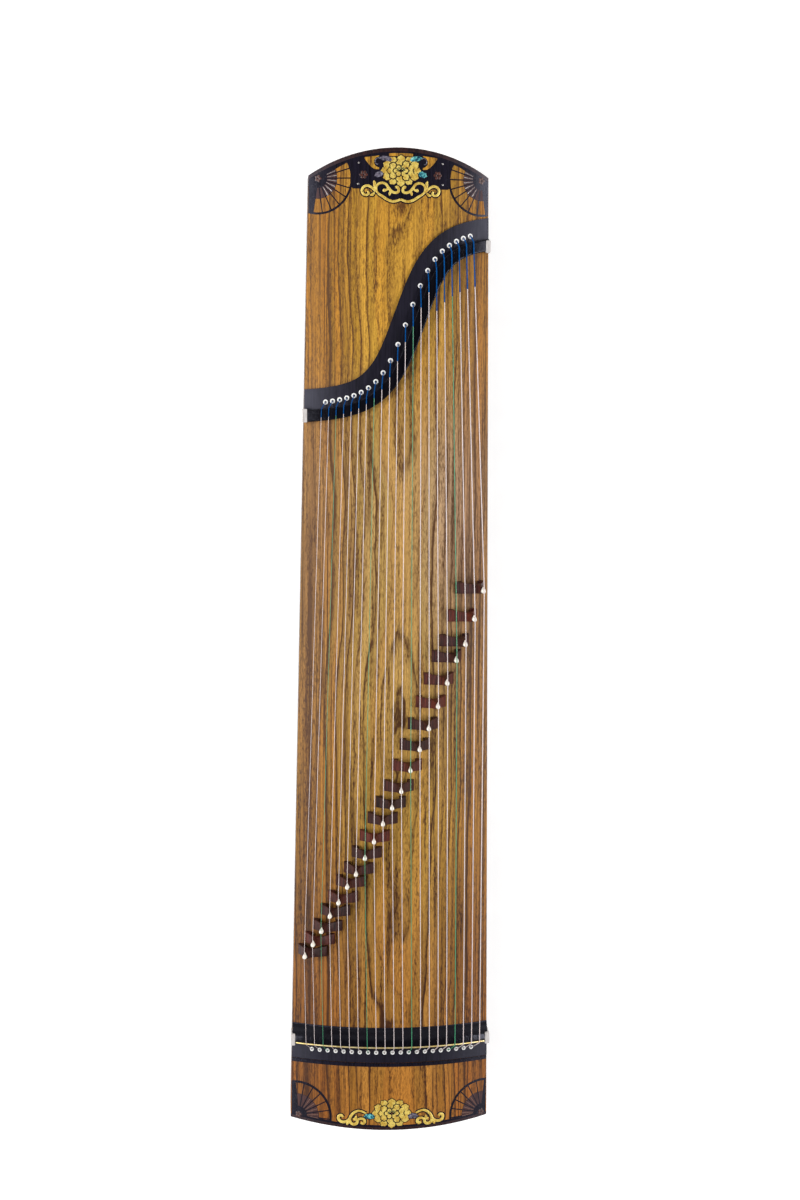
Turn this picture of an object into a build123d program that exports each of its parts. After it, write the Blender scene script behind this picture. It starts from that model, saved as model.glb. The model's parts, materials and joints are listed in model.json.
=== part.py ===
from build123d import *
import os
from math import cos, radians, sin, sqrt

# A twenty-one-string S-ridge zither (guzheng), in millimetres.
# +X runs toward the head (tuning) end, +Y toward the bass side, +Z up.
# The origin is on the floor plane, under the middle of the body.
# String 1 is the treble string, at -Y; string 21 is the bass string.

# ---- driving dimensions: body ----
LENGTH = 1630.0
HEAD_HALF_WIDTH = 167.3
TAIL_HALF_WIDTH = 145.0
HEAD_BULGE = 12.0          # how far the middle of the head end stands past its corners
TAIL_BULGE = 44.0
ARCH_RADIUS = 400.0        # the top is one cylinder along X, so bridges slide on it
CROWN_Z = 122.0
BOARD = 9.0                # soundboard and lid thickness
SIDE_BOARD = 12.0
HEAD_BOARD = 12.0
TAIL_BOARD = 7.0
LID_END_PANEL = 5.5
BACK_BOARD = 8.0
FOOT_HEIGHT = 18.0

# ---- driving dimensions: strings and what they rest on ----
STRINGS = 21
PLATE = 3.0                # dark plates around the string holes
SEAM_X = 697.0             # where the fixed top meets the lid
SEAM_GAP = 0.8
CREST_X = 664.0            # head ridge crest, under its wire
CREST_HEIGHT = 19.5
WIRE_RADIUS = 1.2
HEAD_EYELET_X = 678.0
REAR_RIDGE_HEIGHT = 12.0
TAIL_EYELET = (4.1, 3.0, 2.0)    # radii of an eyelet's flange, tube and bore
HEAD_EYELET = (3.5, 2.6, 1.9)
EYELET_FLANGE = 1.0
TREBLE_STRING_RADIUS = 0.35
BASS_STRING_RADIUS = 0.75

# Angles around the arch, from the crown, first string then last string.
HEAD_CREST_ANGLES = (-19.7, 20.9)
HEAD_EYELET_ANGLES = (-19.1, 20.0)
BRIDGE_ANGLES = (-19.1, 17.9)
TAIL_RIDGE_ANGLES = (-17.25, 16.95)
TAIL_EYELET_ANGLES = (-16.65, 16.65)

# The rear ridge follows x = S_X - S_REACH * u / sqrt(1 + u * u), u = (y - S_Y) / S_WIDTH.
S_X = -547.0
S_Y = 16.0
S_REACH = 147.6
S_WIDTH = 52.3
S_PLATE_EDGE = -23.3       # tail-side edge of the plate, measured square to the S
S_RIDGE_START = 10.0
S_RIDGE_END = 29.4
S_STEPS = 16
S_OVERRUN = 45.0           # how far past the body the ridge is drawn before the arch trims it
S_SEARCH_STEPS = 40

# ---- driving dimensions: bridges ----
FIRST_BRIDGE_X = 504.0
FIRST_BRIDGE_GAP = 22.0
LAST_BRIDGE_GAP = 38.7
# Tuning moves each bridge a little off the even law, toward the head or back.
TUNING = (2, 2, 1, -2, -1, -3, 1, 1, 1, 0, 3, 6, 3, 1, 0, -2, -5, -6, 5, 2, -5)
TREBLE_BRIDGE_HEIGHT = 48.0
BASS_BRIDGE_HEIGHT = 62.0
TREBLE_FOOT_LENGTH = 18.5
BASS_FOOT_LENGTH = 21.0
FOOT_SPAN = 50.0
TIP_HEIGHT = 6.0
TIP_ROUND = 3.3            # radius of the tip's round end, which faces the head
TIP_POINT = 7.3            # from the string's notch to the tip's point, toward the tail
SLIDE_CLEARANCE = 0.05

# ---- driving dimensions: tuning box ----
PIN_RADIUS = 2.6
PIN_CLEARANCE = 0.05
PIN_BOTTOM_Z = 32.0
PIN_SHOULDER_Z = 63.0
PIN_TOP_Z = 73.0
PIN_SQUARE = 4.6
PIN_ROW_X = (722.0, 746.0, 770.0)
BLOCK_TOP_Z = 50.0
WINDING_Z = 57.0
HINGE_Z = 75.0
HINGE_X = LENGTH / 2 + 1.0
HINGE_Y = 60.0
HINGE_GAP = 0.25
KNUCKLE_RADIUS = 3.0
HINGE_PIN_RADIUS = 1.2
LEAF = 1.4
LEAF_WIDTH = 36.0
LEAF_HEIGHT = 18.0
KNUCKLE_GAP = 0.2
LEAF_PROUD = 0.3
LID_LIFT = 0.1             # the lid's underside over the side boards
BLOCK_START_X = 706.0
BLOCK_END_X = 785.0
PIN_CHAMFER = 0.5

# ---- driving dimensions: small pieces ----
SOUND_HOLES = ((-520.0, 90.0, 34.0), (60.0, 150.0, 40.0), (400.0, 90.0, 34.0))
BRACE = 12.0
BRACE_XS = (-345.0, -145.0, 235.0, 515.0)
HEAD_BRACE_X = 648.0
AIR_HOLE = (190.0, 38.0)
AIR_HOLE_CORNER = 15.0
AIR_HOLE_Z = 56.0
FOOT_PLAN = (66.0, 30.0)
FOOT_CORNER = 8.0
FOOT_TAPER = 8.0
FOOT_XS = (-680.0, 690.0)
FOOT_Y = 108.0
CAP_DEPTH = 5.0
CAP_PROUD = 2.5
CAP_DROP = 12.0
CAP_CORNER = 1.5
CAP_EDGE = 1.2
CAPS = (                   # tail-side x, head-side x, side of the body, height over the arch
    (650.0, 669.5, -1, CREST_HEIGHT + 0.5),
    (650.0, 669.5, 1, CREST_HEIGHT + 0.5),
    (-398.5, -376.5, -1, REAR_RIDGE_HEIGHT + 1),
    (-671.5, -651.5, 1, REAR_RIDGE_HEIGHT + 1),
)
WIRE_SUNK = 0.6            # the wire's centre over the crest
WIRE_CLEARANCE = 0.02
WIRE_HALF_ANGLE = 22.2     # the wire's ends, in degrees from the crown
HOLE_DEPTH = 60.0
KNOT_DROP = 5.0
MOUTH_RISE = 0.3
WIRE_BEND = 1.12           # corner of a string over the wire, in touching radii
WIRE_LEAN = 28.0           # that corner's lean toward the head, in degrees
RIDGE_SLOPE = 28.0
RIDGE_TOE = 1.5
RIDGE_LAND = 3.5
RIDGE_BACK = 6.0
RIDGE_HIP = 13.0           # height of the bend in the ridge's head side
TOE_FALL = 0.5             # fall of the ridge's long slope at its toe, per unit of length
PLATE_SETBACK = 1.0
RIDGE_ROUND = 2.5
STRING_GAP = 0.05
NECK = 8.0                 # a bridge where its legs meet
HEAD = 7.0                 # a bridge under its tip
HEAD_FRONT = 3.8           # from the notch to the top's head side and to its tail side
HEAD_REAR = 6.8
FOOT_TOE = 4.0
FOOT_DROP = 3.0            # how far the legs are drawn past the arch before it trims them
ARCH_HALF = 12.0           # half the opening between the legs
ARCH_RISE = 0.42           # heights on a bridge, as shares of its own height
LEG_RISE = 0.3
NECK_RISE = 0.7
LEG_HALF = 16.0            # from the middle to a leg's outer side, at LEG_RISE
FOOT_LEAN = 0.8            # how far a leg's outer side leans per unit of height, low and high
NECK_LEAN = 0.1
TIP_CROWN = 2.0
TIP_HEEL = 3.2             # the tip over the bridge at its point, then at its round end
TIP_NOSE = 4.8
TIP_LAND = 1.5             # half the level part of the tip's top
NOTCH_DEPTH = 0.8

# ---- worked out from the driving dimensions ----
ARCH_AXIS_Z = CROWN_Z - ARCH_RADIUS
ARCH_AXIS = Axis((0, 0, ARCH_AXIS_Z), (1, 0, 0))
UNDERSIDE_RADIUS = ARCH_RADIUS - BOARD
PLATE_RADIUS = ARCH_RADIUS + PLATE
BACK_TOP_Z = FOOT_HEIGHT + BACK_BOARD
HEAD_END_RADIUS = (HEAD_HALF_WIDTH**2 + HEAD_BULGE**2) / (2 * HEAD_BULGE)
TAIL_END_RADIUS = (TAIL_HALF_WIDTH**2 + TAIL_BULGE**2) / (2 * TAIL_BULGE)
TAPER = (HEAD_HALF_WIDTH - TAIL_HALF_WIDTH) / (LENGTH - HEAD_BULGE - TAIL_BULGE)
TAIL_CORNER_X = -LENGTH / 2 + TAIL_BULGE
REAR_CREST = ARCH_RADIUS + REAR_RIDGE_HEIGHT
LEAF_FACE_X = HINGE_X - KNUCKLE_RADIUS + LEAF_PROUD
LEAF_BACK_X = LEAF_FACE_X - LEAF
BELOW_HINGE = (HINGE_Z - LEAF_HEIGHT, HINGE_Z - HINGE_GAP)
ABOVE_HINGE = (HINGE_Z + HINGE_GAP, HINGE_Z + LEAF_HEIGHT)
LOWER_KNUCKLE = (HINGE_Z - KNUCKLE_RADIUS, HINGE_Z - HINGE_GAP)
UPPER_KNUCKLE = (HINGE_Z + HINGE_GAP, HINGE_Z + KNUCKLE_RADIUS)
TIP_TOUCH_X = -(TIP_ROUND**2) / TIP_POINT    # where the tip's straight sides meet its round end
TIP_TOUCH_Y = TIP_ROUND * sqrt(1 - (TIP_ROUND / TIP_POINT) ** 2)
WIDE = 400.0               # past the body on every side, for cutting tools
EVERYWHERE = (-LENGTH, LENGTH)


def spread(ends, index):
    """Value for one string, stepping evenly from the first string to the last."""
    first, last = ends
    return first + (last - first) * index / (STRINGS - 1)


def half_width(x):
    return TAIL_HALF_WIDTH + TAPER * (x - TAIL_CORNER_X)


def on_arch(x, angle, radius):
    """Point at an angle around the arch axis; angle 0 is the crown."""
    turn = radians(angle)
    return Vector(x, radius * sin(turn), ARCH_AXIS_Z + radius * cos(turn))


def arch_profile(angle):
    """Plane through the arch axis: its x is the body's X and its y is the distance from the axis."""
    turn = radians(angle)
    return Plane((0, 0, ARCH_AXIS_Z), x_dir=(1, 0, 0), z_dir=(0, -cos(turn), sin(turn)))


def square_to_arch(x, angle, radius):
    """Plane that lies on the arch, with its normal pointing out of the body."""
    turn = radians(angle)
    return Plane(on_arch(x, angle, radius), x_dir=(1, 0, 0), z_dir=(0, sin(turn), cos(turn)))


def across_arch(x, angle, radius):
    """Plane square to X at a place on the arch, with its y axis pointing out of the body."""
    turn = radians(angle)
    return Plane(on_arch(x, angle, radius), x_dir=(0, cos(turn), -sin(turn)), z_dir=(1, 0, 0))


def string_radius(index):
    return spread((TREBLE_STRING_RADIUS, BASS_STRING_RADIUS), index)


# ---- shared cutting shapes ----
def under_arch(radius):
    """Everything inside one arch radius."""
    with BuildPart() as rod:
        with BuildSketch(Plane.YZ.offset(-LENGTH)):
            with Locations((0, ARCH_AXIS_Z)):
                Circle(radius)
        extrude(amount=2 * LENGTH)
    return rod.part


def plan_prism(bottom, top, side_inset=0.0, tail_inset=0.0, head_inset=0.0):
    """The body's plan outline, drawn in by the given amounts, as an upright block."""
    tail_middle = -LENGTH / 2 + tail_inset
    head_middle = LENGTH / 2 - head_inset
    tail_y = half_width(tail_middle + TAIL_BULGE) - side_inset
    head_y = half_width(head_middle - HEAD_BULGE) - side_inset
    tail_x = tail_middle + TAIL_END_RADIUS - sqrt(TAIL_END_RADIUS**2 - tail_y**2)
    head_x = head_middle - HEAD_END_RADIUS + sqrt(HEAD_END_RADIUS**2 - head_y**2)
    with BuildPart() as prism:
        with BuildSketch(Plane.XY.offset(bottom)):
            with BuildLine():
                Line((tail_x, -tail_y), (head_x, -head_y))
                ThreePointArc((head_x, -head_y), (head_middle, 0), (head_x, head_y))
                Line((head_x, head_y), (tail_x, tail_y))
                ThreePointArc((tail_x, tail_y), (tail_middle, 0), (tail_x, -tail_y))
            make_face()
        extrude(amount=top - bottom)
    return prism.part


def slab(x_limits, y_limits, z_limits):
    """A block between pairs of x, y and z limits."""
    with BuildPart() as block:
        with Locations((sum(x_limits) / 2, sum(y_limits) / 2, sum(z_limits) / 2)):
            Box(x_limits[1] - x_limits[0], y_limits[1] - y_limits[0], z_limits[1] - z_limits[0])
    return block.part


def knuckle(y_start, y_end, radius):
    """A barrel on the hinge line."""
    with BuildPart() as barrel:
        with BuildSketch(Plane.XZ.offset(-y_end)):
            with Locations((HINGE_X, HINGE_Z)):
                Circle(radius)
        extrude(amount=y_end - y_start)
    return barrel.part


# ---- the S of the rear ridge ----
def s_curve(y):
    step = (y - S_Y) / S_WIDTH
    return S_X - S_REACH * step / sqrt(1 + step * step)


def s_slope(y):
    step = (y - S_Y) / S_WIDTH
    return -S_REACH / S_WIDTH / (1 + step * step) ** 1.5


def s_offset(y, distance):
    """Point beside the S, the given distance toward the head, measured square to it."""
    slope = s_slope(y)
    length = sqrt(1 + slope * slope)
    return (s_curve(y) + distance / length, y - distance * slope / length)


def s_offset_at(y, distance):
    """The x where the line beside the S crosses a given y."""
    foot = y
    for _ in range(S_SEARCH_STEPS):
        slope = s_slope(foot)
        foot = y + distance * slope / sqrt(1 + slope * slope)
    return s_offset(foot, distance)[0]


def s_band(start, end, bottom_radius, top_radius):
    """A strip along the S, between two distances from it, that follows the arch."""
    reach = HEAD_HALF_WIDTH + S_OVERRUN
    rows = [-reach + 2 * reach * step / S_STEPS for step in range(S_STEPS + 1)]
    tail_side = [s_offset(y, start) for y in rows]
    head_side = [s_offset(y, end) for y in rows]
    with BuildPart() as band:
        with BuildSketch(Plane.XY):
            with BuildLine():
                Spline(*tail_side)
                Line(tail_side[-1], head_side[-1])
                Spline(*head_side)
                Line(head_side[0], tail_side[0])
            make_face()
        extrude(amount=WIDE)
        add(under_arch(top_radius), mode=Mode.INTERSECT)
        add(under_arch(bottom_radius), mode=Mode.SUBTRACT)
    return band.part


# ---- places that strings, bridges and pins share ----
def bridge_x(index):
    growth = (LAST_BRIDGE_GAP - FIRST_BRIDGE_GAP) / (STRINGS - 2)
    even = FIRST_BRIDGE_X - FIRST_BRIDGE_GAP * index - growth * index * (index - 1) / 2
    return even + TUNING[index]


def bridge_height(index):
    return spread((TREBLE_BRIDGE_HEIGHT, BASS_BRIDGE_HEIGHT), index)


def tail_eyelet(index):
    """Where a tail eyelet stands: its x and its angle."""
    angle = spread(TAIL_EYELET_ANGLES, index)
    y = PLATE_RADIUS * sin(radians(angle))
    return s_curve(y), angle


def pin_place(index):
    """Axis of one tuning pin: the string comes off its treble side."""
    y = on_arch(0, spread(HEAD_EYELET_ANGLES, index), PLATE_RADIUS).Y
    return PIN_ROW_X[index % len(PIN_ROW_X)], y + PIN_RADIUS + string_radius(index)


def tail_eyelet_places():
    """Where the tail's string holes meet the top of the rear plate."""
    tail_ends = [tail_eyelet(index) for index in range(STRINGS)]
    return [square_to_arch(x, angle, PLATE_RADIUS).location for x, angle in tail_ends]


def head_eyelet_places():
    """Where the head's string holes meet the top of the front plate."""
    angles = [spread(HEAD_EYELET_ANGLES, index) for index in range(STRINGS)]
    return [square_to_arch(HEAD_EYELET_X, angle, PLATE_RADIUS).location for angle in angles]


def string_holes():
    """Rods the size of the eyelets' tubes through every string hole, for cutting."""
    with BuildPart() as rods:
        with Locations(*tail_eyelet_places()):
            Cylinder(TAIL_EYELET[1], HOLE_DEPTH)
        with Locations(*head_eyelet_places()):
            Cylinder(HEAD_EYELET[1], HOLE_DEPTH)
    return rods.part


def eyelet(radii):
    """An eyelet standing on Z = 0 with its tube below."""
    flange_radius, tube_radius, bore_radius = radii
    with BuildPart() as sleeve:
        with BuildSketch(Plane.XY.offset(-PLATE - BOARD)):
            Circle(tube_radius)
            Circle(bore_radius, mode=Mode.SUBTRACT)
        extrude(amount=PLATE + BOARD + EYELET_FLANGE)
        with BuildSketch(Plane.XY):
            Circle(flange_radius)
            Circle(bore_radius, mode=Mode.SUBTRACT)
        extrude(amount=EYELET_FLANGE)
        rims = sleeve.edges().filter_by(GeomType.CIRCLE).sort_by(SortBy.RADIUS)
        fillet(rims[-1], EYELET_FLANGE / 2)
    return sleeve.part


def wire_centre_radius():
    return ARCH_RADIUS + CREST_HEIGHT + WIRE_SUNK


def string_path(index):
    """Corners of one string, from its knot under the tail to its tuning pin."""
    radius = string_radius(index)
    tail_x, tail_angle = tail_eyelet(index)
    ridge_angle = spread(TAIL_RIDGE_ANGLES, index)
    ridge_top = ARCH_RADIUS + REAR_RIDGE_HEIGHT + radius + MOUTH_RISE
    ridge_y = ridge_top * sin(radians(ridge_angle))
    eyelet_mouth = PLATE_RADIUS + EYELET_FLANGE + radius + MOUTH_RISE
    notch_radius = ARCH_RADIUS + bridge_height(index) + radius - NOTCH_DEPTH
    bend = WIRE_BEND * (WIRE_RADIUS + radius + STRING_GAP)
    lean = radians(WIRE_LEAN)
    pin_x, pin_y = pin_place(index)
    wire_x = CREST_X + bend * sin(lean)
    wire_top = wire_centre_radius() + bend * cos(lean)
    head_angle = spread(HEAD_EYELET_ANGLES, index)
    return (
        on_arch(tail_x, tail_angle, UNDERSIDE_RADIUS - KNOT_DROP),
        on_arch(tail_x, tail_angle, eyelet_mouth),
        on_arch(s_offset_at(ridge_y, S_RIDGE_START), ridge_angle, ridge_top),
        on_arch(bridge_x(index), spread(BRIDGE_ANGLES, index), notch_radius),
        on_arch(wire_x, spread(HEAD_CREST_ANGLES, index), wire_top),
        on_arch(HEAD_EYELET_X, head_angle, eyelet_mouth),
        on_arch(HEAD_EYELET_X, head_angle, UNDERSIDE_RADIUS - KNOT_DROP / 2),
        Vector(pin_x, pin_y - PIN_RADIUS - radius - STRING_GAP, WINDING_Z),
    )


def stretched(corners, radius):
    """A taut round string through the given corners."""
    with BuildPart() as string:
        with BuildLine() as path:
            Polyline(*corners)
        with BuildSketch(Plane(path.line @ 0, z_dir=path.line % 0)):
            Circle(radius)
        sweep(transition=Transition.RIGHT)
    return string.part


os.makedirs("parts", exist_ok=True)
with BuildPart() as body_envelope:
    add(plan_prism(0, WIDE))
    add(under_arch(ARCH_RADIUS), mode=Mode.INTERSECT)


def save(part, name):
    part.label = name
    export_step(part, f"parts/{name}.step")


def save_group(solids, name):
    save(Compound(children=solids), name)


# ---- soundboard ----
with BuildPart() as soundboard:
    add(plan_prism(0, WIDE, tail_inset=TAIL_BOARD))
    add(under_arch(ARCH_RADIUS), mode=Mode.INTERSECT)
    add(under_arch(UNDERSIDE_RADIUS), mode=Mode.SUBTRACT)
    add(slab((SEAM_X, LENGTH), EVERYWHERE, EVERYWHERE), mode=Mode.SUBTRACT)
    add(string_holes(), mode=Mode.SUBTRACT)
save(soundboard.part, "soundboard")

# ---- sides, ends, back, braces and feet ----
with BuildPart() as side_boards:
    add(plan_prism(FOOT_HEIGHT, WIDE, tail_inset=TAIL_BOARD, head_inset=HEAD_BOARD))
    add(plan_prism(0, WIDE, side_inset=SIDE_BOARD), mode=Mode.SUBTRACT)
    add(under_arch(UNDERSIDE_RADIUS), mode=Mode.INTERSECT)
save(side_boards.part, "side_boards")

with BuildPart() as tail_end_board:
    add(plan_prism(FOOT_HEIGHT, WIDE))
    add(plan_prism(0, WIDE, -SIDE_BOARD, TAIL_BOARD, -SIDE_BOARD), mode=Mode.SUBTRACT)
    add(under_arch(ARCH_RADIUS), mode=Mode.INTERSECT)
save(tail_end_board.part, "tail_end_board")

with BuildPart() as back_board:
    add(plan_prism(FOOT_HEIGHT, BACK_TOP_Z, SIDE_BOARD, TAIL_BOARD, HEAD_BOARD))
    for hole_x, hole_length, hole_width in SOUND_HOLES:
        with BuildSketch(Plane.XY):
            with Locations((hole_x, 0)):
                SlotOverall(hole_length, hole_width)
        extrude(amount=WIDE, mode=Mode.SUBTRACT)
save(back_board.part, "back_board")

brace_solids = []
for brace_x in BRACE_XS + (HEAD_BRACE_X,):
    with BuildPart() as brace:
        with BuildSketch(Plane.YZ.offset(brace_x - BRACE / 2)):
            with Locations((0, BACK_TOP_Z + WIDE / 2)):
                Rectangle(2 * WIDE, WIDE)
            if brace_x != HEAD_BRACE_X:
                with Locations((0, AIR_HOLE_Z)):
                    RectangleRounded(*AIR_HOLE, AIR_HOLE_CORNER, mode=Mode.SUBTRACT)
        extrude(amount=BRACE)
        add(plan_prism(0, WIDE, SIDE_BOARD), mode=Mode.INTERSECT)
        add(under_arch(UNDERSIDE_RADIUS), mode=Mode.INTERSECT)
    brace_solids.append(brace.part)
save_group(brace_solids, "braces")

foot_solids = []
for foot_x in FOOT_XS:
    for foot_y in (-FOOT_Y, FOOT_Y):
        with BuildPart() as foot:
            with BuildSketch(Plane.XY.offset(FOOT_HEIGHT)):
                with Locations((foot_x, foot_y)):
                    RectangleRounded(*FOOT_PLAN, FOOT_CORNER)
            extrude(amount=-FOOT_HEIGHT, taper=FOOT_TAPER)
        foot_solids.append(foot.part)
save_group(foot_solids, "feet")

# ---- hinges of the lid: two, on one line along Y ----
fixed_leaves = []
moving_leaves = []
hinge_pockets = []
for hinge_y in (-HINGE_Y, HINGE_Y):
    start = hinge_y - LEAF_WIDTH / 2
    end = hinge_y + LEAF_WIDTH / 2
    outer_pair = ((start, start + LEAF_WIDTH / 3), (end - LEAF_WIDTH / 3, end))
    middle = (outer_pair[0][1] + KNUCKLE_GAP, outer_pair[1][0] - KNUCKLE_GAP)
    with BuildPart() as fixed_leaf:
        add(slab((LEAF_BACK_X, LEAF_FACE_X), (start, end), BELOW_HINGE))
        for knuckle_ends in outer_pair:
            add(slab((LEAF_BACK_X, HINGE_X), knuckle_ends, LOWER_KNUCKLE))
            add(knuckle(*knuckle_ends, KNUCKLE_RADIUS))
        add(knuckle(outer_pair[0][1], outer_pair[1][0], KNUCKLE_RADIUS + KNUCKLE_GAP), mode=Mode.SUBTRACT)
        add(knuckle(start, end, HINGE_PIN_RADIUS))
    fixed_leaves.append(fixed_leaf.part)
    with BuildPart() as moving_leaf:
        add(slab((LEAF_BACK_X, LEAF_FACE_X), (start, end), ABOVE_HINGE))
        for knuckle_ends in outer_pair:
            add(knuckle(*knuckle_ends, KNUCKLE_RADIUS + KNUCKLE_GAP), mode=Mode.SUBTRACT)
        add(slab((LEAF_BACK_X, HINGE_X), middle, UPPER_KNUCKLE))
        add(knuckle(*middle, KNUCKLE_RADIUS))
        add(knuckle(start, end, HINGE_PIN_RADIUS + PIN_CLEARANCE), mode=Mode.SUBTRACT)
    moving_leaves.append(moving_leaf.part)
    with BuildPart() as pocket:
        add(slab((LEAF_BACK_X, LENGTH), (start, end), (BELOW_HINGE[0], ABOVE_HINGE[1])))
        add(knuckle(start, end, KNUCKLE_RADIUS + LEAF))
    hinge_pockets.append(pocket.part)
save_group(fixed_leaves, "hinge_fixed_leaves")
save_group(moving_leaves, "hinge_moving_leaves")

with BuildPart() as head_end_board:
    add(plan_prism(FOOT_HEIGHT, HINGE_Z - HINGE_GAP))
    add(plan_prism(0, WIDE, -SIDE_BOARD, -SIDE_BOARD, HEAD_BOARD), mode=Mode.SUBTRACT)
    for hinge_pocket in hinge_pockets:
        add(hinge_pocket, mode=Mode.SUBTRACT)
save(head_end_board.part, "head_end_board")

# ---- lid ----
with BuildPart() as lid:
    add(plan_prism(HINGE_Z + HINGE_GAP, WIDE, head_inset=LID_END_PANEL))
    add(under_arch(ARCH_RADIUS), mode=Mode.INTERSECT)
    add(under_arch(UNDERSIDE_RADIUS + LID_LIFT), mode=Mode.SUBTRACT)
    add(slab((-LENGTH, SEAM_X + SEAM_GAP), EVERYWHERE, EVERYWHERE), mode=Mode.SUBTRACT)
save(lid.part, "lid")

with BuildPart() as lid_end_panel:
    add(plan_prism(HINGE_Z + HINGE_GAP, WIDE))
    add(plan_prism(0, WIDE, -SIDE_BOARD, -SIDE_BOARD, LID_END_PANEL), mode=Mode.SUBTRACT)
    add(under_arch(ARCH_RADIUS), mode=Mode.INTERSECT)
    for hinge_pocket in hinge_pockets:
        add(hinge_pocket, mode=Mode.SUBTRACT)
save(lid_end_panel.part, "lid_end_panel")

# ---- bone caps on the ridge ends ----
cap_blocks = []
cap_solids = []
for tail_x, head_x, side, height in CAPS:
    inner_y = half_width(tail_x) - CAP_DEPTH
    outer_y = half_width(head_x) + CAP_PROUD
    cap_top = ARCH_AXIS_Z + sqrt((ARCH_RADIUS + height) ** 2 - inner_y**2)
    cap_low = ARCH_AXIS_Z + sqrt(ARCH_RADIUS**2 - inner_y**2) - CAP_DROP
    y_limits = sorted((side * inner_y, side * outer_y))
    cap_blocks.append(slab((tail_x, head_x), y_limits, (cap_low - CAP_DROP, cap_top + CAP_DROP)))
    with BuildPart() as ridge_cap:
        add(slab((tail_x, head_x), y_limits, (cap_low, cap_top)))
        fillet(ridge_cap.edges().filter_by(Axis.Z), CAP_CORNER)
        fillet(ridge_cap.faces().sort_by(Axis.Z)[-1].edges(), CAP_EDGE)
        add(body_envelope.part, mode=Mode.SUBTRACT)
    cap_solids.append(ridge_cap.part)
save_group(cap_solids, "ridge_end_caps")

# ---- head ridge with its plate and wire ----
with BuildPart() as ridge_wire:
    with BuildSketch(arch_profile(WIRE_HALF_ANGLE)):
        with Locations((CREST_X, wire_centre_radius())):
            Circle(WIRE_RADIUS)
    revolve(axis=ARCH_AXIS, revolution_arc=2 * WIRE_HALF_ANGLE)
save(ridge_wire.part, "ridge_wire")

with BuildPart() as front_ridge:
    with BuildSketch(arch_profile(0)):
        with BuildLine():
            Polyline(
                (CREST_X - RIDGE_SLOPE, ARCH_RADIUS + RIDGE_TOE),
                (CREST_X - RIDGE_SLOPE, ARCH_RADIUS),
                (SEAM_X - PLATE_SETBACK, ARCH_RADIUS),
                (SEAM_X - PLATE_SETBACK, PLATE_RADIUS),
                (CREST_X + RIDGE_BACK, PLATE_RADIUS),
                (CREST_X + RIDGE_BACK / 2, ARCH_RADIUS + RIDGE_HIP),
                (CREST_X + WIRE_RADIUS, ARCH_RADIUS + CREST_HEIGHT),
                (CREST_X - RIDGE_LAND, ARCH_RADIUS + CREST_HEIGHT),
            )
            Spline(
                (CREST_X - RIDGE_LAND, ARCH_RADIUS + CREST_HEIGHT),
                (CREST_X - RIDGE_SLOPE, ARCH_RADIUS + RIDGE_TOE),
                tangents=((-1, 0), (-1, -TOE_FALL)),
            )
        make_face()
        with Locations((CREST_X, wire_centre_radius())):
            Circle(WIRE_RADIUS + WIRE_CLEARANCE, mode=Mode.SUBTRACT)
    revolve(axis=ARCH_AXIS)
    add(plan_prism(0, WIDE), mode=Mode.INTERSECT)
    for cap_block in cap_blocks:
        add(cap_block, mode=Mode.SUBTRACT)
    add(string_holes(), mode=Mode.SUBTRACT)
save(front_ridge.part, "front_ridge")

# ---- rear ridge: an S-shaped plate with the ridge along its head side ----
with BuildPart() as rear_ridge:
    add(s_band(S_RIDGE_START, S_RIDGE_END, ARCH_RADIUS, REAR_CREST))
    top_face = rear_ridge.faces().filter_by(GeomType.CYLINDER).sort_by(Axis.Z)[-1]
    fillet(top_face.edges().sort_by(SortBy.LENGTH)[-2:], RIDGE_ROUND)
    add(s_band(S_PLATE_EDGE, S_RIDGE_START, ARCH_RADIUS, PLATE_RADIUS))
    add(plan_prism(0, WIDE), mode=Mode.INTERSECT)
    for cap_block in cap_blocks:
        add(cap_block, mode=Mode.SUBTRACT)
    add(string_holes(), mode=Mode.SUBTRACT)
save(rear_ridge.part, "rear_ridge")

# ---- string eyelets ----
tail_eyelets = [eyelet(TAIL_EYELET).moved(place) for place in tail_eyelet_places()]
head_eyelets = [eyelet(HEAD_EYELET).moved(place) for place in head_eyelet_places()]
save_group(tail_eyelets + head_eyelets, "string_eyelets")

# ---- tuning box ----
with BuildPart() as pin_block:
    add(plan_prism(BACK_TOP_Z, BLOCK_TOP_Z, side_inset=SIDE_BOARD))
    add(slab((BLOCK_START_X, BLOCK_END_X), EVERYWHERE, (0, WIDE)), mode=Mode.INTERSECT)
    with Locations(*[(*pin_place(index), BLOCK_TOP_Z) for index in range(STRINGS)]):
        Hole(PIN_RADIUS + PIN_CLEARANCE, BLOCK_TOP_Z - PIN_BOTTOM_Z + PIN_CLEARANCE)
save(pin_block.part, "pin_block")

for index in range(STRINGS):
    pin_x, pin_y = pin_place(index)
    with BuildPart() as tuning_pin:
        with BuildSketch(Plane.XY.offset(PIN_BOTTOM_Z)):
            with Locations((pin_x, pin_y)):
                Circle(PIN_RADIUS)
        extrude(amount=PIN_SHOULDER_Z - PIN_BOTTOM_Z)
        with BuildSketch(Plane.XY.offset(PIN_SHOULDER_Z)):
            with Locations((pin_x, pin_y)):
                Rectangle(PIN_SQUARE, PIN_SQUARE)
        extrude(amount=PIN_TOP_Z - PIN_SHOULDER_Z)
        chamfer(tuning_pin.faces().sort_by(Axis.Z)[-1].edges(), PIN_CHAMFER)
    save(tuning_pin.part, f"tuning_pin_{index + 1:02d}")

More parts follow.
